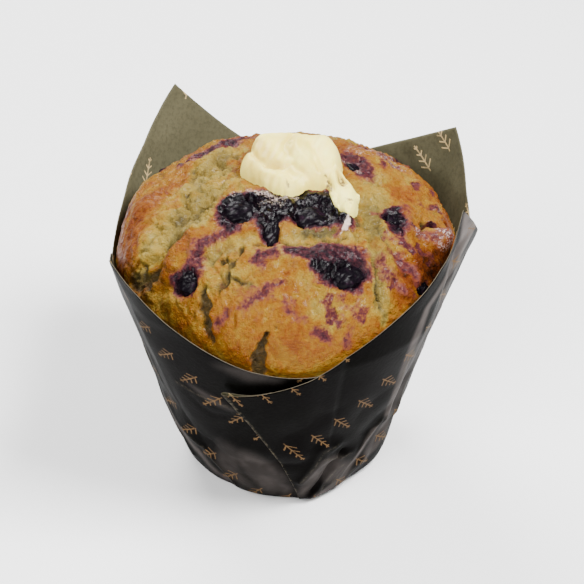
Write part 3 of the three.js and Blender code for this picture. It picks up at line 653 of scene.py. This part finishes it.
class Nodes:
    """Short names for the nodes that the materials need."""

    def __init__(self, name):
        self.material = bpy.data.materials.new(name)
        self.material.use_nodes = True
        self.tree = self.material.node_tree
        self.shader = self.tree.nodes["Principled BSDF"]

    def put(self, socket, value):
        if isinstance(value, Value):
            self.tree.links.new(value.socket, socket)
        else:
            socket.default_value = value

    def new(self, kind, settings, inputs, output=0):
        """A node with its settings and inputs, as what it gives out."""
        node = self.tree.nodes.new(kind)
        for key, value in settings.items():
            setattr(node, key, value)
        for key, value in inputs.items():
            self.put(node.inputs[key], value)
        return Value(self, node.outputs[output])

    def math(self, operation, a, b):
        return self.new("ShaderNodeMath", {"operation": operation}, {0: a, 1: b})

    def number(self, name):
        return self.new("ShaderNodeAttribute", {"attribute_name": name}, {}, "Fac")

    def noise(self, scale, detail, rough):
        place = self.new("ShaderNodeTexCoord", {}, {}, "Object")
        inputs = {"Vector": place, "Scale": scale, "Detail": detail, "Roughness": rough}
        return self.new("ShaderNodeTexNoise", {}, inputs, "Fac")

    def mix(self, factor, a, b):
        a, b = (c if isinstance(c, Value) else linear(*c) for c in (a, b))
        return self.new("ShaderNodeMix", {"data_type": "RGBA"}, {0: factor, 6: a, 7: b}, 2)

    def ramp(self, value, stops):
        colour = self.new("ShaderNodeValToRGB", {}, {0: value})
        elements = colour.socket.node.color_ramp.elements
        while len(elements) < len(stops):
            elements.new(0.5)
        for element, (position, shade) in zip(elements, stops):
            element.position = position
            element.color = linear(*shade)
        return colour

    def spread(self, value, low, high, to_low=0.0, to_high=1.0):
        inputs = {"Value": value, "From Min": low, "From Max": high, "To Min": to_low, "To Max": to_high}
        return self.new("ShaderNodeMapRange", {}, inputs)

    def bump(self, height, distance, strength):
        return self.new("ShaderNodeBump", {}, {"Height": height, "Strength": strength, "Distance": distance})

    def finish(self, **sockets):
        for key, value in sockets.items():
            self.put(self.shader.inputs[key.replace("_", " ")], value)
        return self.material


def crust_material():
    n = Nodes("baked_crust")
    fine = n.noise(2200, 4, 0.6)
    grain = n.noise(900, 3, 0.6)
    blotch = n.noise(240, 4, 0.6)
    brown = n.number("brown") + (blotch - 0.5) * 0.5 + (grain - 0.5) * 0.65
    baked = n.ramp(brown, [
        (0.0, (140, 120, 56)),
        (0.22, (134, 107, 36)),
        (0.45, (124, 83, 18)),
        (0.68, (111, 60, 12)),
        (0.88, (88, 37, 5)),
        (1.0, (50, 20, 5)),
    ])
    # dark olive of the damp crumb, and painted shade in the cracks, crevices and gaps between lumps
    damp_grey_and_shade = n.number("damp_grey_and_shade") * n.spread(grain, 0.3, 0.6, 0.75, 1.0)
    baked = n.mix(damp_grey_and_shade * 0.9, baked, (60, 54, 36))
    mottle = (grain - 0.5) * 0.7 + (fine - 0.5) * 0.5
    juice = (n.number("juice") + mottle) * n.spread(n.number("juice"), 0.05, 0.3)
    stained = n.ramp(juice, [
        (0.0, (110, 60, 34)),
        (0.35, (95, 45, 36)),
        (0.6, (62, 25, 31)),
        (0.8, (24, 9, 17)),
        (1.0, (4, 2, 5)),
    ])
    colour = n.mix(n.spread(juice, 0.1, 0.5), baked, stained)
    flecked = (fine - 0.5) * 2.4 + (grain - 0.5) * 1.2
    creamed_and_highlit = n.spread(n.number("cream") + flecked, 0.35, 1.1, 0.0, 0.8)
    # white smears of cream, and painted highlights on skins, the knob and glossy crust
    colour = n.mix(creamed_and_highlit * n.spread(n.number("cream"), 0.02, 0.3), colour, (214, 190, 176))
    damp = n.spread(n.number("crumb"), 0.1, 0.6, 0.4, 0.0)
    wet = n.math("MAXIMUM", n.spread(juice, 0.55, 0.95), damp)
    roughness = n.spread(blotch, 0.3, 0.7, 0.6, 0.74) - wet * 0.48
    relief = (fine * 0.7 + grain) * n.spread(juice, 0.3, 0.8, 1.0, 0.2)
    return n.finish(Base_Color=colour, Roughness=roughness, Normal=n.bump(relief, 0.0008, 1.0),
                    Subsurface_Weight=0.05, Subsurface_Radius=(0.0015, 0.001, 0.0005), Subsurface_Scale=1.0,
                    Specular_IOR_Level=0.08, Coat_Weight=0.05, Coat_Roughness=0.12)


def berry_material():
    n = Nodes("baked_blueberry")
    blotch = n.noise(500, 4, 0.6)
    fine = n.noise(1800, 3, 0.6)
    colour = n.ramp(blotch, [(0.3, (5, 3, 6)), (0.55, (10, 6, 11)), (0.75, (36, 19, 32))])
    return n.finish(Base_Color=colour, Roughness=n.spread(fine, 0.3, 0.7, 0.22, 0.4),
                    Normal=n.bump(blotch, 0.0006, 0.4), Specular_IOR_Level=0.05,
                    Coat_Weight=0.02, Coat_Roughness=0.08)


def cream_material():
    n = Nodes("whipped_cream")
    soft = n.noise(120, 3, 0.5)
    fine = n.noise(1400, 3, 0.5)
    colour = n.ramp(soft, [(0.3, (240, 217, 98)), (0.65, (252, 237, 128))])
    # painted shade: darker and warmer in the bowl, the furrows and the holes
    colour = n.mix(n.number("painted_shade") * 0.9, colour, (196, 168, 62))
    colour = n.mix(n.number("specks") * n.spread(fine, 0.42, 0.55), colour, (88, 62, 36))
    return n.finish(Base_Color=colour, Roughness=n.spread(soft, 0.3, 0.7, 0.42, 0.55),
                    Normal=n.bump(soft + fine * 0.12, 0.0006, 0.35),
                    Subsurface_Weight=0.35, Subsurface_Radius=(0.004, 0.003, 0.0018), Subsurface_Scale=1.0)


# Berries

def spot(x, y, height):
    """One place of the chart in space, raised by a height."""
    return on_crown(np.array([x]), np.array([y]), np.array([height]))[0]


def berries():
    shared = berry_material()
    bpy.ops.mesh.primitive_ico_sphere_add(subdivisions=BERRY_FINENESS, radius=1.0)
    ball = bpy.context.object
    sphere = np.array([v.co for v in ball.data.vertices])
    faces = [tuple(f.vertices) for f in ball.data.polygons]
    bpy.data.objects.remove(ball)
    for number, (name, bearing, reach, size, sink) in enumerate(BERRIES):
        cx, cy = polar(bearing, reach)
        height = float(swell(np.array([cx]), np.array([cy]))[0])
        middle = spot(cx, cy, height - sink - 0.6)
        out = spot(cx, cy, 5.0) - spot(cx, cy, -5.0)
        out /= np.linalg.norm(out)
        dx, dy = polar(bearing, 1)
        across = np.cross(out, spot(cx + dx, cy + dy, 0.0) - spot(cx - dx, cy - dy, 0.0))
        across /= np.linalg.norm(across)
        down = np.cross(across, out)
        shape = []
        for p in sphere:
            v = Vector(p)
            wrinkle = noise.noise(v * 1.7 + Vector((number * 7.1, 0, 0)))
            fine = noise.noise(v * 5 + Vector((0, number * 3.7, 0)))
            folds = abs(noise.noise(v * 3.1 + Vector((number * 2.3, 5, 0))))
            shape.append(p * (0.96 + 0.2 * wrinkle + 0.015 * fine + 0.09 * folds))
        shape = np.array(shape) * np.array(size)
        points = middle + shape[:, :1] * down + shape[:, 1:2] * across + shape[:, 2:] * out
        piece = build(name + "_skin", points, faces)
        piece.data.materials.append(shared)
        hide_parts(name)


# Cream: outlines on the chart, then the smeared lobes that its top is made of. Each lobe: middle x and y,
# turn of its length, half length, half width, and height of its top
CREAM_EDGES = [
    [(-8.4, 13), (-9.2, 9.8), (-9.9, 6.6), (-12, 3.2), (-11.2, 1.2), (-8.8, -1.4), (-6.4, -4.2),
     (-1.8, -7.8), (1.9, -8.8), (5.3, -5.8), (8.1, -6.2), (10.5, -4.5), (12.4, -1.4), (13.4, 3), (13.1, 7.6),
     (11, 11.4), (7.4, 14), (0, 14.8), (-6.4, 14.4)],
    [(11.6, 2), (12.8, 0), (14.2, -3), (16.2, -6), (17, -9.6), (16.6, -12.8), (15, -14.6), (13, -14.2),
     (11.4, -12), (10.2, -9.2), (9.4, -6.6), (8.6, -4)],
]
CREAM_LOBES = [
    (1, 7.5, 0, 11, 7.5, 86.6),
    (-5, 8, 20, 5, 5, 86.7),
    (3, 4, -70, 7.5, 3.4, 87.4),
    (9.4, 6, 100, 7.5, 3.4, 87),
    (-8.8, 1.4, -52, 5.5, 2.6, 84.7),
    (-3.4, -3.6, -24, 6, 2.5, 84.7),
    (3.4, -5.2, 30, 4, 2.4, 84.4),
    (9.6, -1.8, 64, 4, 2.4, 85.2),
    (14.2, -4.8, 110, 4, 1.8, 83.4),
    (14.2, -10.2, 100, 4.4, 3, 82.7),
]
LOBE_LEVEL = 84.0  # the height from which the lobes are summed
LOBE_JOIN = 5.0  # how sharp the creases between them are
# Furrows and ridges that the spoon left in the cream: height, half width, and the places they pass through
CREAM_FOLDS = [
    (-0.75, 0.65, [(-9.4, 7), (-8.5, 4.4), (-7, 1.8), (-5, -0.2), (-3, -1)]),
    (-0.7, 0.55, [(-5, -0.5), (-1.6, -1.6), (0.6, -0.9), (3, -3.8), (5.4, -6.4)]),
    (-0.35, 0.7, [(1, 11), (-0.6, 7), (-0.4, 3), (1.2, 0)]),
    (0.35, 0.9, [(2.6, 9), (2, 4.6), (4, -0.6), (5.8, -3.6)]),
    (-0.35, 0.6, [(5.6, 8), (6, 2), (7.4, -3.6)]),
    (0.25, 0.8, [(-9.6, 9.4), (-6, 12.4), (0, 13)]),
]
# Painted shade, a darker and warmer tone in the cream's bowl, furrows and holes: strength, then the stroke
CREAM_PAINTED_SHADE = [
    (0.8, [(-11, 9, 1), (-10.4, 4, 1.4), (-7.6, -1.6, 1.2), (-4, -5, 0.8)]),
    (0.95, [(-8, 8, 2.2), (-6.4, 4, 2.4), (-4, 0.6, 1.4), (-1, -1, 0.6)]),
    (0.5, [(-1, -1, 0.6), (3, -4, 0.6)]),
    (0.5, [(1, 11, 0.8), (-0.6, 7, 1.4), (0.4, 3, 1)]),
    (0.6, [(8, -4, 1), (10, -8, 0.8)]),
    (0.9, [(12.4, -3.2, 1), (13, -5.2, 1.4)]),
]
# Holes in the cream: depth, then the stroke
CREAM_HOLES = [
    (2.2, [(12.4, -3.2, 0.6), (13, -5.2, 1.1)]),
    (1.3, [(9.4, -4.6, 0.3), (10.2, -7.2, 0.6)]),
    (0.5, [(0.3, 6.2, 0.3)]),
    (0.4, [(7.6, -3.6, 0.4)]),
]
# Crumbs and juice on the cream: strength, then the stroke
CREAM_SPECKS = [
    (0.8, [(0.2, 6.3, 0.15), (0.9, 5.9, 0.1)]),
    (0.9, [(9.3, 12.6, 0.2)]),
    (0.7, [(-0.6, -5.4, 0.1), (0.3, -7.2, 0.15)]),
    (0.5, [(0.8, -5.6, 0.1)]),
    (0.9, [(9.1, -4.4, 0.5), (9.8, -5.8, 0.6), (10.4, -7.6, 0.3)]),
    (0.9, [(12.5, -3.4, 0.6), (13, -5.2, 1)]),
    (0.8, [(13.8, -11.2, 0.3), (14.6, -11.8, 0.35), (15.6, -11.6, 0.25)]),
    (0.7, [(13.6, -12.2, 0.2), (14.8, -12.6, 0.25)]),
]


def inside(edge, x, y):
    """Distance in mm inside a closed outline, negative outside it."""
    within = np.zeros(x.shape, bool)
    least = np.full_like(x, 1e3)
    for (x0, y0), (x1, y1) in zip(edge, edge[1:] + edge[:1]):
        least = np.minimum(least, outside([(x0, y0, 0), (x1, y1, 0)], x, y))
        crosses = (y0 > y) != (y1 > y)
        within ^= crosses & (x < x0 + (x1 - x0) * (y - y0) / ((y1 - y0) or 1e-9))
    return np.where(within, least, -least)


def rounded(edge):
    """A closed outline with its corners cut off twice."""
    for _ in range(2):
        pairs = list(zip(edge, edge[1:] + edge[:1]))
        edge = [(a[0] + (b[0] - a[0]) * k, a[1] + (b[1] - a[1]) * k) for a, b in pairs for k in (0.25, 0.75)]
    return edge


def cream():
    x, y = np.meshgrid(np.arange(-14, 19.5, CREAM_STEP), np.arange(-18.5, 17.5, CREAM_STEP))
    wx, wy = x + 0.35 * rough(x, y, 3, 2, seed=21), y + 0.35 * rough(x, y, 3, 2, seed=22)
    deep = np.maximum(*(inside(rounded(edge), wx, wy) for edge in CREAM_EDGES))
    crust = on_crown(x, y, crown_fields(x, y)[0])
    # The top: lobes joined by soft creases, above the crust, with a thick rounded edge
    total = 0
    for cx, cy, turn, long, wide, top in CREAM_LOBES:
        u, v = seen_from((cx, cy), turn, x, y)
        total = total + np.exp(LOBE_JOIN * (top - LOBE_LEVEL - 1.3 * ((u / long) ** 2 + (v / wide) ** 2)))
    top = LOBE_LEVEL + np.log(total) / LOBE_JOIN + 0.12 * rough(x, y, 5, 2, seed=23)
    for rise, width, route in CREAM_FOLDS:
        line = [(px, py, 0) for px, py in route]
        top += rise * np.exp(-(np.maximum(outside(line, wx, wy), 0) / width) ** 2)
    for depth, stroke in CREAM_HOLES:
        top -= depth * ease(0.5 - outside(stroke, x, y) / 1.2)
    streaks = 0.06 * np.sin(3.2 * (x * 0.9 - y * 0.3) + 2 * rough(x, y, 5, 1, seed=24))
    round_edge = np.sqrt(np.clip(1 - (1 - np.clip(deep / CREAM_ROUNDING, 0, 1)) ** 2, 0, 1))
    thick = np.maximum(top - crust[..., 2], CREAM_THINNEST) + streaks
    height = np.where(deep > 0, thick * (0.12 + 0.88 * round_edge), 0.12 * thick + 3 * deep)
    height = np.maximum(height, -1.0)
    points = crust + np.array([0, 0, 1.0]) * height[..., None]
    # Only the squares inside the outline are kept, and those of the seam
    faces = np.array(grid_faces(*x.shape))
    faces = faces[(deep > -CREAM_SEAM).ravel()[faces].all(axis=1)]
    used, order = np.unique(faces, return_inverse=True)
    faces = order.reshape(faces.shape).tolist()
    finish = {"specks": painted(CREAM_SPECKS, x, y, 0.15, 0.35).ravel()[used],
              "painted_shade": painted(CREAM_PAINTED_SHADE, x, y, 0.6, 3.0).ravel()[used]}
    piece = build("cream_dollop", points.reshape(-1, 3)[used], faces, finish)
    piece.data.materials.append(cream_material())
    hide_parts("cream")


# Case

# Creases pressed into the case: depth outwards, half width, and the bearings and heights they pass through
CREASES = [
    (0.9, 1.6, [(-26, 69), (-32, 68), (-35, 62), (-38, 58), (-42, 44), (-39, 30), (-40, 23)]),
    (-0.7, 1.6, [(-33, 64), (-33, 52), (-34, 40), (-35, 26)]),
    (0.8, 1.2, [(-19, 72), (-23, 62), (-27, 50), (-29, 38), (-28, 20)]),
    (-0.8, 1.2, [(-24, 74), (-28, 64), (-31, 54), (-33, 44)]),
    (0.7, 1, [(-14, 68), (-18, 56), (-20, 44), (-19, 30)]),
    (-0.6, 1, [(-10, 64), (-14, 50), (-14, 36)]),
    (1, 1.2, [(-68, 23), (-75, 22.5), (-77, 18.5), (-80, 15), (-84, 11)]),
    (1.1, 1.1, [(-61, 12.4), (-66, 11.4), (-70, 8), (-72, 4.4), (-77, 3)]),
    (0.9, 1.1, [(-58, 16.4), (-64, 16.4), (-74, 18.8)]),
    (0.8, 1.2, [(-46, 8), (-53, 6), (-60, 3), (-70, 1)]),
    (-0.8, 1, [(-64, 19), (-70, 14), (-74, 9), (-78, 5)]),
    (0.6, 1.5, [(-44, 24), (-50, 18), (-56, 12), (-66, 6)]),
    (0.8, 2.4, [(-132, 43), (-122, 42), (-115, 41), (-108, 41)]),
    (-0.7, 3, [(-108, 36), (-114, 31), (-122, 23), (-140, 11)]),
    (0.6, 1.8, [(-154, 26), (-150, 19), (-136, 15), (-126, 10), (-120, 4)]),
    (0.5, 1.6, [(-170, 50), (-164, 34), (-160, 20), (-150, 6)]),
    (0.6, 1.4, [(-148, 60), (-152, 48), (-150, 34)]),
    (0.7, 1.4, [(20, 60), (16, 44), (22, 26), (18, 8)]),
    (0.6, 1.4, [(48, 66), (52, 48), (48, 30), (56, 12)]),
    (-0.7, 1.8, [(36, 50), (30, 36), (34, 18)]),
    (0.9, 1.1, [(84, 22), (78, 16), (74, 8), (66, 3)]),
    (0.7, 1.6, [(112, 58), (106, 40), (112, 22), (104, 8)]),
    (-0.7, 2, [(132, 52), (138, 34), (130, 16)]),
    (0.7, 1.4, [(158, 56), (152, 36), (158, 16), (166, 4)]),
    (0.8, 1.2, [(178, 20), (172, 12), (176, 4)]),
]
# Painted highlights, where the waxed paper is coloured lighter as if it caught the light: strength, softness
# of the edge, then bearing, height and half width of each point of the stroke
PAINTED_SHEENS = [
    (0.34, 4.5, [(-92, 6, 2.5), (-98, 9, 5), (-103, 14, 5.5), (-108, 19, 4)]),
    (0.25, 5, [(-112, 7, 3), (-120, 12, 4), (-116, 20, 4)]),
    (0.55, 3.2, [(-126, 4, 1), (-135, 6, 1.6), (-145, 10, 1.8), (-153, 16, 1.6), (-158, 24, 1)]),
    (0.3, 3, [(-110, 40, 0.6), (-114, 41.4, 1.2), (-119, 43, 1.2), (-124, 44.6, 0.5)]),
    (0.22, 4, [(-110, 57, 1), (-101, 56, 3), (-94, 54, 1)]),
    (0.5, 4, [(-83, 5, 1), (-78, 11, 2.5), (-72, 15, 3.5), (-66, 11, 4), (-58, 9, 3)]),
    (0.68, 1.6, [(-76, 2, 0.5), (-69, 3, 1.4), (-59, 6, 1.6), (-51, 14, 1.6), (-46, 21, 1.4)]),
    (1.2, 1.8, [(-26, 84, 0.6), (-22, 79, 2.2), (-18, 74, 3.4), (-23, 70, 2.8), (-29, 66, 1.8)]),
    (0.85, 1.6, [(-22, 76, 0.5), (-27, 70.5, 1.4), (-33, 68, 1.2), (-41, 64, 1), (-44, 56, 1.4),
                 (-43, 46, 1.6), (-41, 34, 1.6), (-40, 26, 1.4)]),
    (0.42, 3, [(-12, 66, 2), (-24, 60, 4), (-32, 50, 4), (-33, 38, 4), (-34, 22, 4), (-40, 12, 4)]),
    (0.2, 14, [(10, 60, 2), (22, 36, 5), (24, 4, 5)]),
    (0.2, 14, [(104, 62, 3), (104, 30, 5), (112, 2, 5)]),
    (0.2, 14, [(150, 64, 3), (150, 40, 6), (160, 2, 5)]),
]
# Pleats: the bearing where the outer ply lifts off the wall, the valley of the rim, the fold's bearings at
# the rim and at the table, the height of its upper end, and how far it stands off
PLEATS = {
    "front": (-72, -83, -110, -83, 47.6, 2.0),
    "left": (-160, -180, -197, -172, 51.0, 0.35),
    "back": (62, 86, 96, 72, 52.0, 1.4),
    "right": (-14, 5, 16, -6, 55.0, 0.12),
}
# Panels of the sheet: the bearing of the tip, and the pleats on both sides, where the panel is either
# folded over its neighbour or tucked in behind it
PANELS = [
    ("case_front_right", -27, ("front", "folded"), ("right", "folded")),
    ("case_back_right", 35, ("right", "tucked"), ("back", "folded")),
    ("case_back_left", 124, ("back", "tucked"), ("left", "tucked")),
    ("case_front_left", -139.7, ("left", "folded"), ("front", "tucked")),
]


def crumple(bearing, height):
    """How far the paper stands out of its even form, in mm, and its crease lines of wear and painted
    highlight.
    """
    arc, total, wear_and_highlight = np.radians(bearing) * CASE_ARC, 0, 0
    for depth, width, route in CREASES:
        for shift in (-360, 0, 360):
            line = [(math.radians(b + shift) * CASE_ARC, h, 0) for b, h in route]
            d = np.maximum(outside(line, arc, height), 0)
            total = total + depth * np.exp(-d / width)
            # pale lines along the deeper creases: partly wear of the paper, partly painted highlight
            wear_and_highlight = np.maximum(wear_and_highlight, (depth > 0.5) * 0.3 * np.exp(-(d / 0.35) ** 2))
    # Broad flat facets with folds between them
    facets = np.abs(rough(arc, height, 21, 1, seed=2)) + 0.5 * np.abs(rough(arc, height, 9, 1, seed=4))
    total = total + 0.9 * (facets - 0.4)
    free = 1 - ease((height - 36) / 8) + ease((height - 61) / 6)
    low = 1 - ease((height - 22) / 8)
    total = np.clip(total * (0.22 + 0.6 * free + 0.5 * low), -1.3, 0.35 + 0.6 * low)
    return total * ease(height / 2 + 0.3), wear_and_highlight


def painted_sheen(bearing, height, crumpled):
    """How much painted highlight the paper gets, as if lit: most on facets that slope down to the right."""
    total = np.zeros_like(height)
    for strength, soft, route in PAINTED_SHEENS:
        line = [(math.radians(b) * CASE_ARC, h, r) for b, h, r in route]
        start = route[0][0]
        arc = np.radians(turn_to(start, bearing) + start) * CASE_ARC
        total = np.maximum(total, strength * ease(0.5 - outside(line, arc, height) / soft))
    slope = np.gradient(crumpled, axis=1) / np.maximum(np.gradient(bearing, axis=1) * 0.6, 0.1)
    broken = 0.65 + 0.35 * ease(rough(np.radians(bearing) * CASE_ARC, height, 5, 3, seed=41) + 0.5)
    return total * broken * (0.5 + 0.5 * ease(0.5 - 1.1 * slope))


# The print, in mm on the flat sheet: rows of sprigs along its front edge
ROW_TURN = 7.0  # degrees from the sheet's own side
ROW_STEP, ROW_SHIFT = 25.0, 87.2
SPRIG_STEP = 8.5
STEM_HALF_WIDTH, STEM_HALF_LENGTH = 0.2, 4.0
LEAF_STEP, LEAF_SLOPE, LEAF_HALF_WIDTH = 2.0, 0.85, 0.24
LEAF_LONGEST, LEAF_TAPER, LEAF_FOOT, LEAF_REACH = 2.3, 0.26, 3.0, 3.5


def sprigs(n):
    """Where the sprigs are printed: a stem, with leaves on both sides that are shorter towards the top."""
    turn = math.radians(ROW_TURN)
    u, v = n.number("sheet_u"), n.number("sheet_v")
    along = u * math.cos(turn) + v * math.sin(turn)
    across = v * math.cos(turn) - u * math.sin(turn)
    wide = abs(along % SPRIG_STEP - SPRIG_STEP / 2)
    y = (across + ROW_SHIFT) % ROW_STEP - ROW_STEP / 2
    stem = (wide < STEM_HALF_WIDTH) * (abs(y) < STEM_HALF_LENGTH)
    rise = y - wide * LEAF_SLOPE
    leaf = abs(rise % LEAF_STEP - LEAF_STEP / 2) < LEAF_HALF_WIDTH
    leaf = leaf * (wide < LEAF_LONGEST - (y + LEAF_FOOT) * LEAF_TAPER) * (abs(rise) < LEAF_REACH)
    return n.math("MAXIMUM", stem, leaf)


def paper_material(name, ground, lit, gold, finish):
    """Dark paper, which may have a print and a painted highlight where it would catch the light."""
    n = Nodes(name)
    grain = n.noise(1000, 4, 0.65)
    cloud = n.noise(60, 3, 0.5)
    colour = n.mix(n.spread(cloud, 0.3, 0.7), ground[0], ground[1])
    colour = n.mix(n.spread(grain, 0.45, 0.75, 0.0, 0.5), colour, ground[2])
    if gold:
        # painted highlight: the lit colour is mixed in where the paper would catch the light
        colour = n.mix(n.number("painted_sheen"), colour, lit)
        printed = sprigs(n) * n.spread(n.noise(700, 3, 0.6), 0.38, 0.5, 0.55, 1.0)
        colour = n.mix(printed, colour, gold)
        # creases coloured paler: wear of the paper, and painted highlight
        flaked_and_highlit = n.number("wear_and_highlight") * n.spread(n.noise(1100, 3, 0.7), 0.42, 0.62)
        colour = n.mix(flaked_and_highlit * 0.7, colour, (104, 96, 80))
    return n.finish(Base_Color=colour, Roughness=n.spread(cloud, 0.3, 0.7, finish[0], finish[1]),
                    Specular_IOR_Level=finish[2], Normal=n.bump(grain, 0.00012, 0.5))


def paper_materials():
    """The sheet's outside, its inside and its cut edge."""
    return [
        paper_material("paper_outside", [(2, 2, 1), (4, 3, 3), (7, 6, 5)], (92, 85, 82), (88, 67, 44),
                       (0.36, 0.48, 0.008)),
        paper_material("paper_inside", [(70, 67, 49), (86, 82, 62), (44, 42, 30)], (70, 67, 49),
                       (176, 152, 108), (0.6, 0.75, 0.1)),
        paper_material("paper_edge", [(74, 68, 54), (88, 80, 66), (54, 48, 38)], None, None, (0.6, 0.7, 0.2)),
    ]


def ply(piece):
    """Give a sheet its thickness, its inside and its cut edge."""
    for material in PAPERS:
        piece.data.materials.append(material)
    solid = piece.modifiers.new("thickness", "SOLIDIFY")
    solid.thickness = PAPER * MM
    solid.offset = -1
    solid.material_offset = 1
    solid.material_offset_rim = 2


def pleat_columns(pleat, share):
    """Bearings, distances out and rim heights of a pleat, from its hidden end round the fold to its start."""
    start, valley, fold_top, fold_foot, fold_rim, stand = PLEATS[pleat]
    fold = fold_foot + (fold_top - fold_foot) * share
    back = np.linspace(0.4, 0, 14)[None, :]
    bend = np.radians(np.linspace(-80, 80, 7))[None, :]
    front = np.linspace(0, 1, 30)[None, :]
    lift = stand * (0.25 + 0.75 * share)

    def stood(k):
        return PAPER + lift * np.sqrt(1 - k)

    def apart(k):
        return 0.34 + 1.1 * share ** 9 * np.exp(-(k / 0.17) ** 2)

    side = math.copysign(1, start - fold_top)
    turned = np.degrees(apart(0) / 2 / FOLD_ARC) * np.cos(bend) * side
    bearing = [fold + (start - fold) * back, fold - turned, fold + (start - fold) * front]
    out = [stood(back) - apart(back), stood(0) - apart(0) / 2 * (1 - np.sin(bend)), stood(front)]
    bearing, out = np.concatenate(bearing, axis=1), np.concatenate(out, axis=1)
    beyond = np.clip((bearing - valley) / (fold_top - valley), 0, 1)
    falling = fold_rim + (float(around(RIM[:, 1], valley)) - fold_rim) * (1 - beyond) ** 1.5
    return bearing, out, np.where((bearing - valley) * side > 0, around(RIM[:, 1], bearing), falling)


def tucked_columns(pleat, share):
    """The same for a panel's end behind its neighbour, from its hidden end to the valley."""
    start, valley = PLEATS[pleat][:2]
    side = math.copysign(1, valley - start)
    bearing = np.linspace(start + 2 * side, valley, 12)[None, :] + 0 * share
    rim = float(around(RIM[:, 1], valley)) - 0.05 * np.abs(bearing - valley)
    return bearing, PAPER + 0 * bearing, rim


def panel(name, tip, low, high):
    """A quarter of the sheet: up over the table, across its tip, and into the pleats on both sides."""
    share = np.linspace(0, 1, PANEL_ROWS)[:, None]
    ends = []
    for pleat, how in (low, high):
        columns = pleat_columns if how == "folded" else tucked_columns
        ends.append(columns(pleat, share))
    if ends[1][0][0, -1] < ends[0][0][0, -1]:
        ends[1] = (ends[1][0] + 360, *ends[1][1:])
    first, last = ends[0][0][:, -1:], ends[1][0][:, -1:]
    count = int(float(last[0, 0] - first[0, 0]))
    middle = first + (last - first) * np.linspace(0, 1, count + 1)[None, 1:-1]
    middle = (middle, PAPER + 0 * middle, around(RIM[:, 1], middle))
    bearing, out, rim = (np.concatenate([before, between, after[:, ::-1]], axis=1)
                         for before, between, after in zip(ends[0], middle, ends[1]))
    height = PANEL_FOOT + (rim - PANEL_FOOT) * share
    crumpled, wear_and_highlight = crumple(bearing, height)
    for pleat, how in (low, high):
        if how == "folded":
            fold = PLEATS[pleat][3] + (PLEATS[pleat][2] - PLEATS[pleat][3]) * share
            # a pale line along each fold as well: wear and painted highlight
            wear_and_highlight = np.maximum(wear_and_highlight, 0.6 * np.exp(-(np.abs(turn_to(fold, bearing)) / 0.4) ** 2))
    r = wall_radius(bearing, height) + out + crumpled
    # Where each point lies on the flat sheet, whose middle is the middle of the base
    slant = SHEET_FOOT + np.hypot(height, r - SHEET_FOOT)
    turned = np.radians(turn_to(tip, bearing)) * r / slant + math.radians(tip)
    sheet = {"sheet_u": (slant * np.cos(turned)).ravel(), "sheet_v": (slant * np.sin(turned)).ravel(),
             "wear_and_highlight": wear_and_highlight.ravel(), "painted_sheen": painted_sheen(bearing, height, crumpled).ravel()}
    points = upright(r, bearing, height).reshape(-1, 3)
    piece = build(name, points, grid_faces(*bearing.shape), sheet)
    ply(piece)
    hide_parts("paper_case")


def base():
    """The round base, creased where the sheet is gathered in under it."""
    bearings = np.arange(0, 360, 2.0)
    shares = np.array([1.0, 0.8, 0.6, 0.4, 0.2])[:, None]
    r = (wall_radius(bearings, 0.4) - 0.05) * shares
    gathers = 0.25 * (1 + np.sin(np.radians(bearings) * 14 + 2 * rough(bearings / 9, 0 * bearings, 3)))
    points = upright(r, bearings, 0.06 + gathers * shares ** 2).reshape(-1, 3)
    points = np.concatenate([points, [[0, 0, 0.2]]])
    count, middle = len(bearings), len(points) - 1
    faces = [face[::-1] for face in grid_faces(len(shares), count, closed=True)]
    first = middle - count
    faces += [(middle, first + (i + 1) % count, first + i) for i in range(count)]
    flat = {"sheet_u": points[:, 0], "sheet_v": points[:, 1], "painted_sheen": 0 * points[:, 0]}
    piece = build("case_base", points, faces, flat)
    ply(piece)
    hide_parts("paper_case")


def studio():
    floor = bpy.data.meshes.new("floor")
    far = FLOOR_REACH
    floor.from_pydata([(-far, -far, 0), (far, -far, 0), (far, far, 0), (-far, far, 0)], [], [(0, 1, 2, 3)])
    stage = bpy.data.objects.new("floor", floor)
    bpy.context.scene.collection.objects.link(stage)
    n = Nodes("floor_white")
    floor.materials.append(n.finish(Base_Color=(0.95, 0.95, 0.95, 1), Roughness=0.9))
    world = bpy.data.worlds.new("studio")
    world.use_nodes = True
    background = world.node_tree.nodes["Background"]
    background.inputs["Color"].default_value = (1, 1, 1, 1)
    background.inputs["Strength"].default_value = WORLD_STRENGTH
    bpy.context.scene.world = world
    for name, place, size, power in LIGHTS:
        light = bpy.data.lights.new(name, "AREA")
        light.size = size
        light.energy = power
        lamp = bpy.data.objects.new(name, light)
        lamp.location = place
        aim = Vector(LIGHTS_AIM) - Vector(place)
        lamp.rotation_euler = aim.to_track_quat("-Z", "Y").to_euler()
        bpy.context.scene.collection.objects.link(lamp)


def camera():
    lens = bpy.data.cameras.new("camera")
    lens.lens = CAMERA_LENS
    lens.sensor_width = CAMERA_SENSOR
    eye = bpy.data.objects.new("camera", lens)
    rise = math.radians(CAMERA_ELEVATION)
    back = Vector((0, -math.cos(rise), math.sin(rise)))
    eye.location = (Vector(CAMERA_TARGET) + back * CAMERA_DISTANCE) * MM
    eye.rotation_euler = (math.pi / 2 - rise, 0, 0)
    bpy.context.scene.collection.objects.link(eye)
    bpy.context.scene.camera = eye


PAPERS = paper_materials()
camera()
studio()
muffin()
berries()
cream()
for values in PANELS:
    panel(*values)
base()
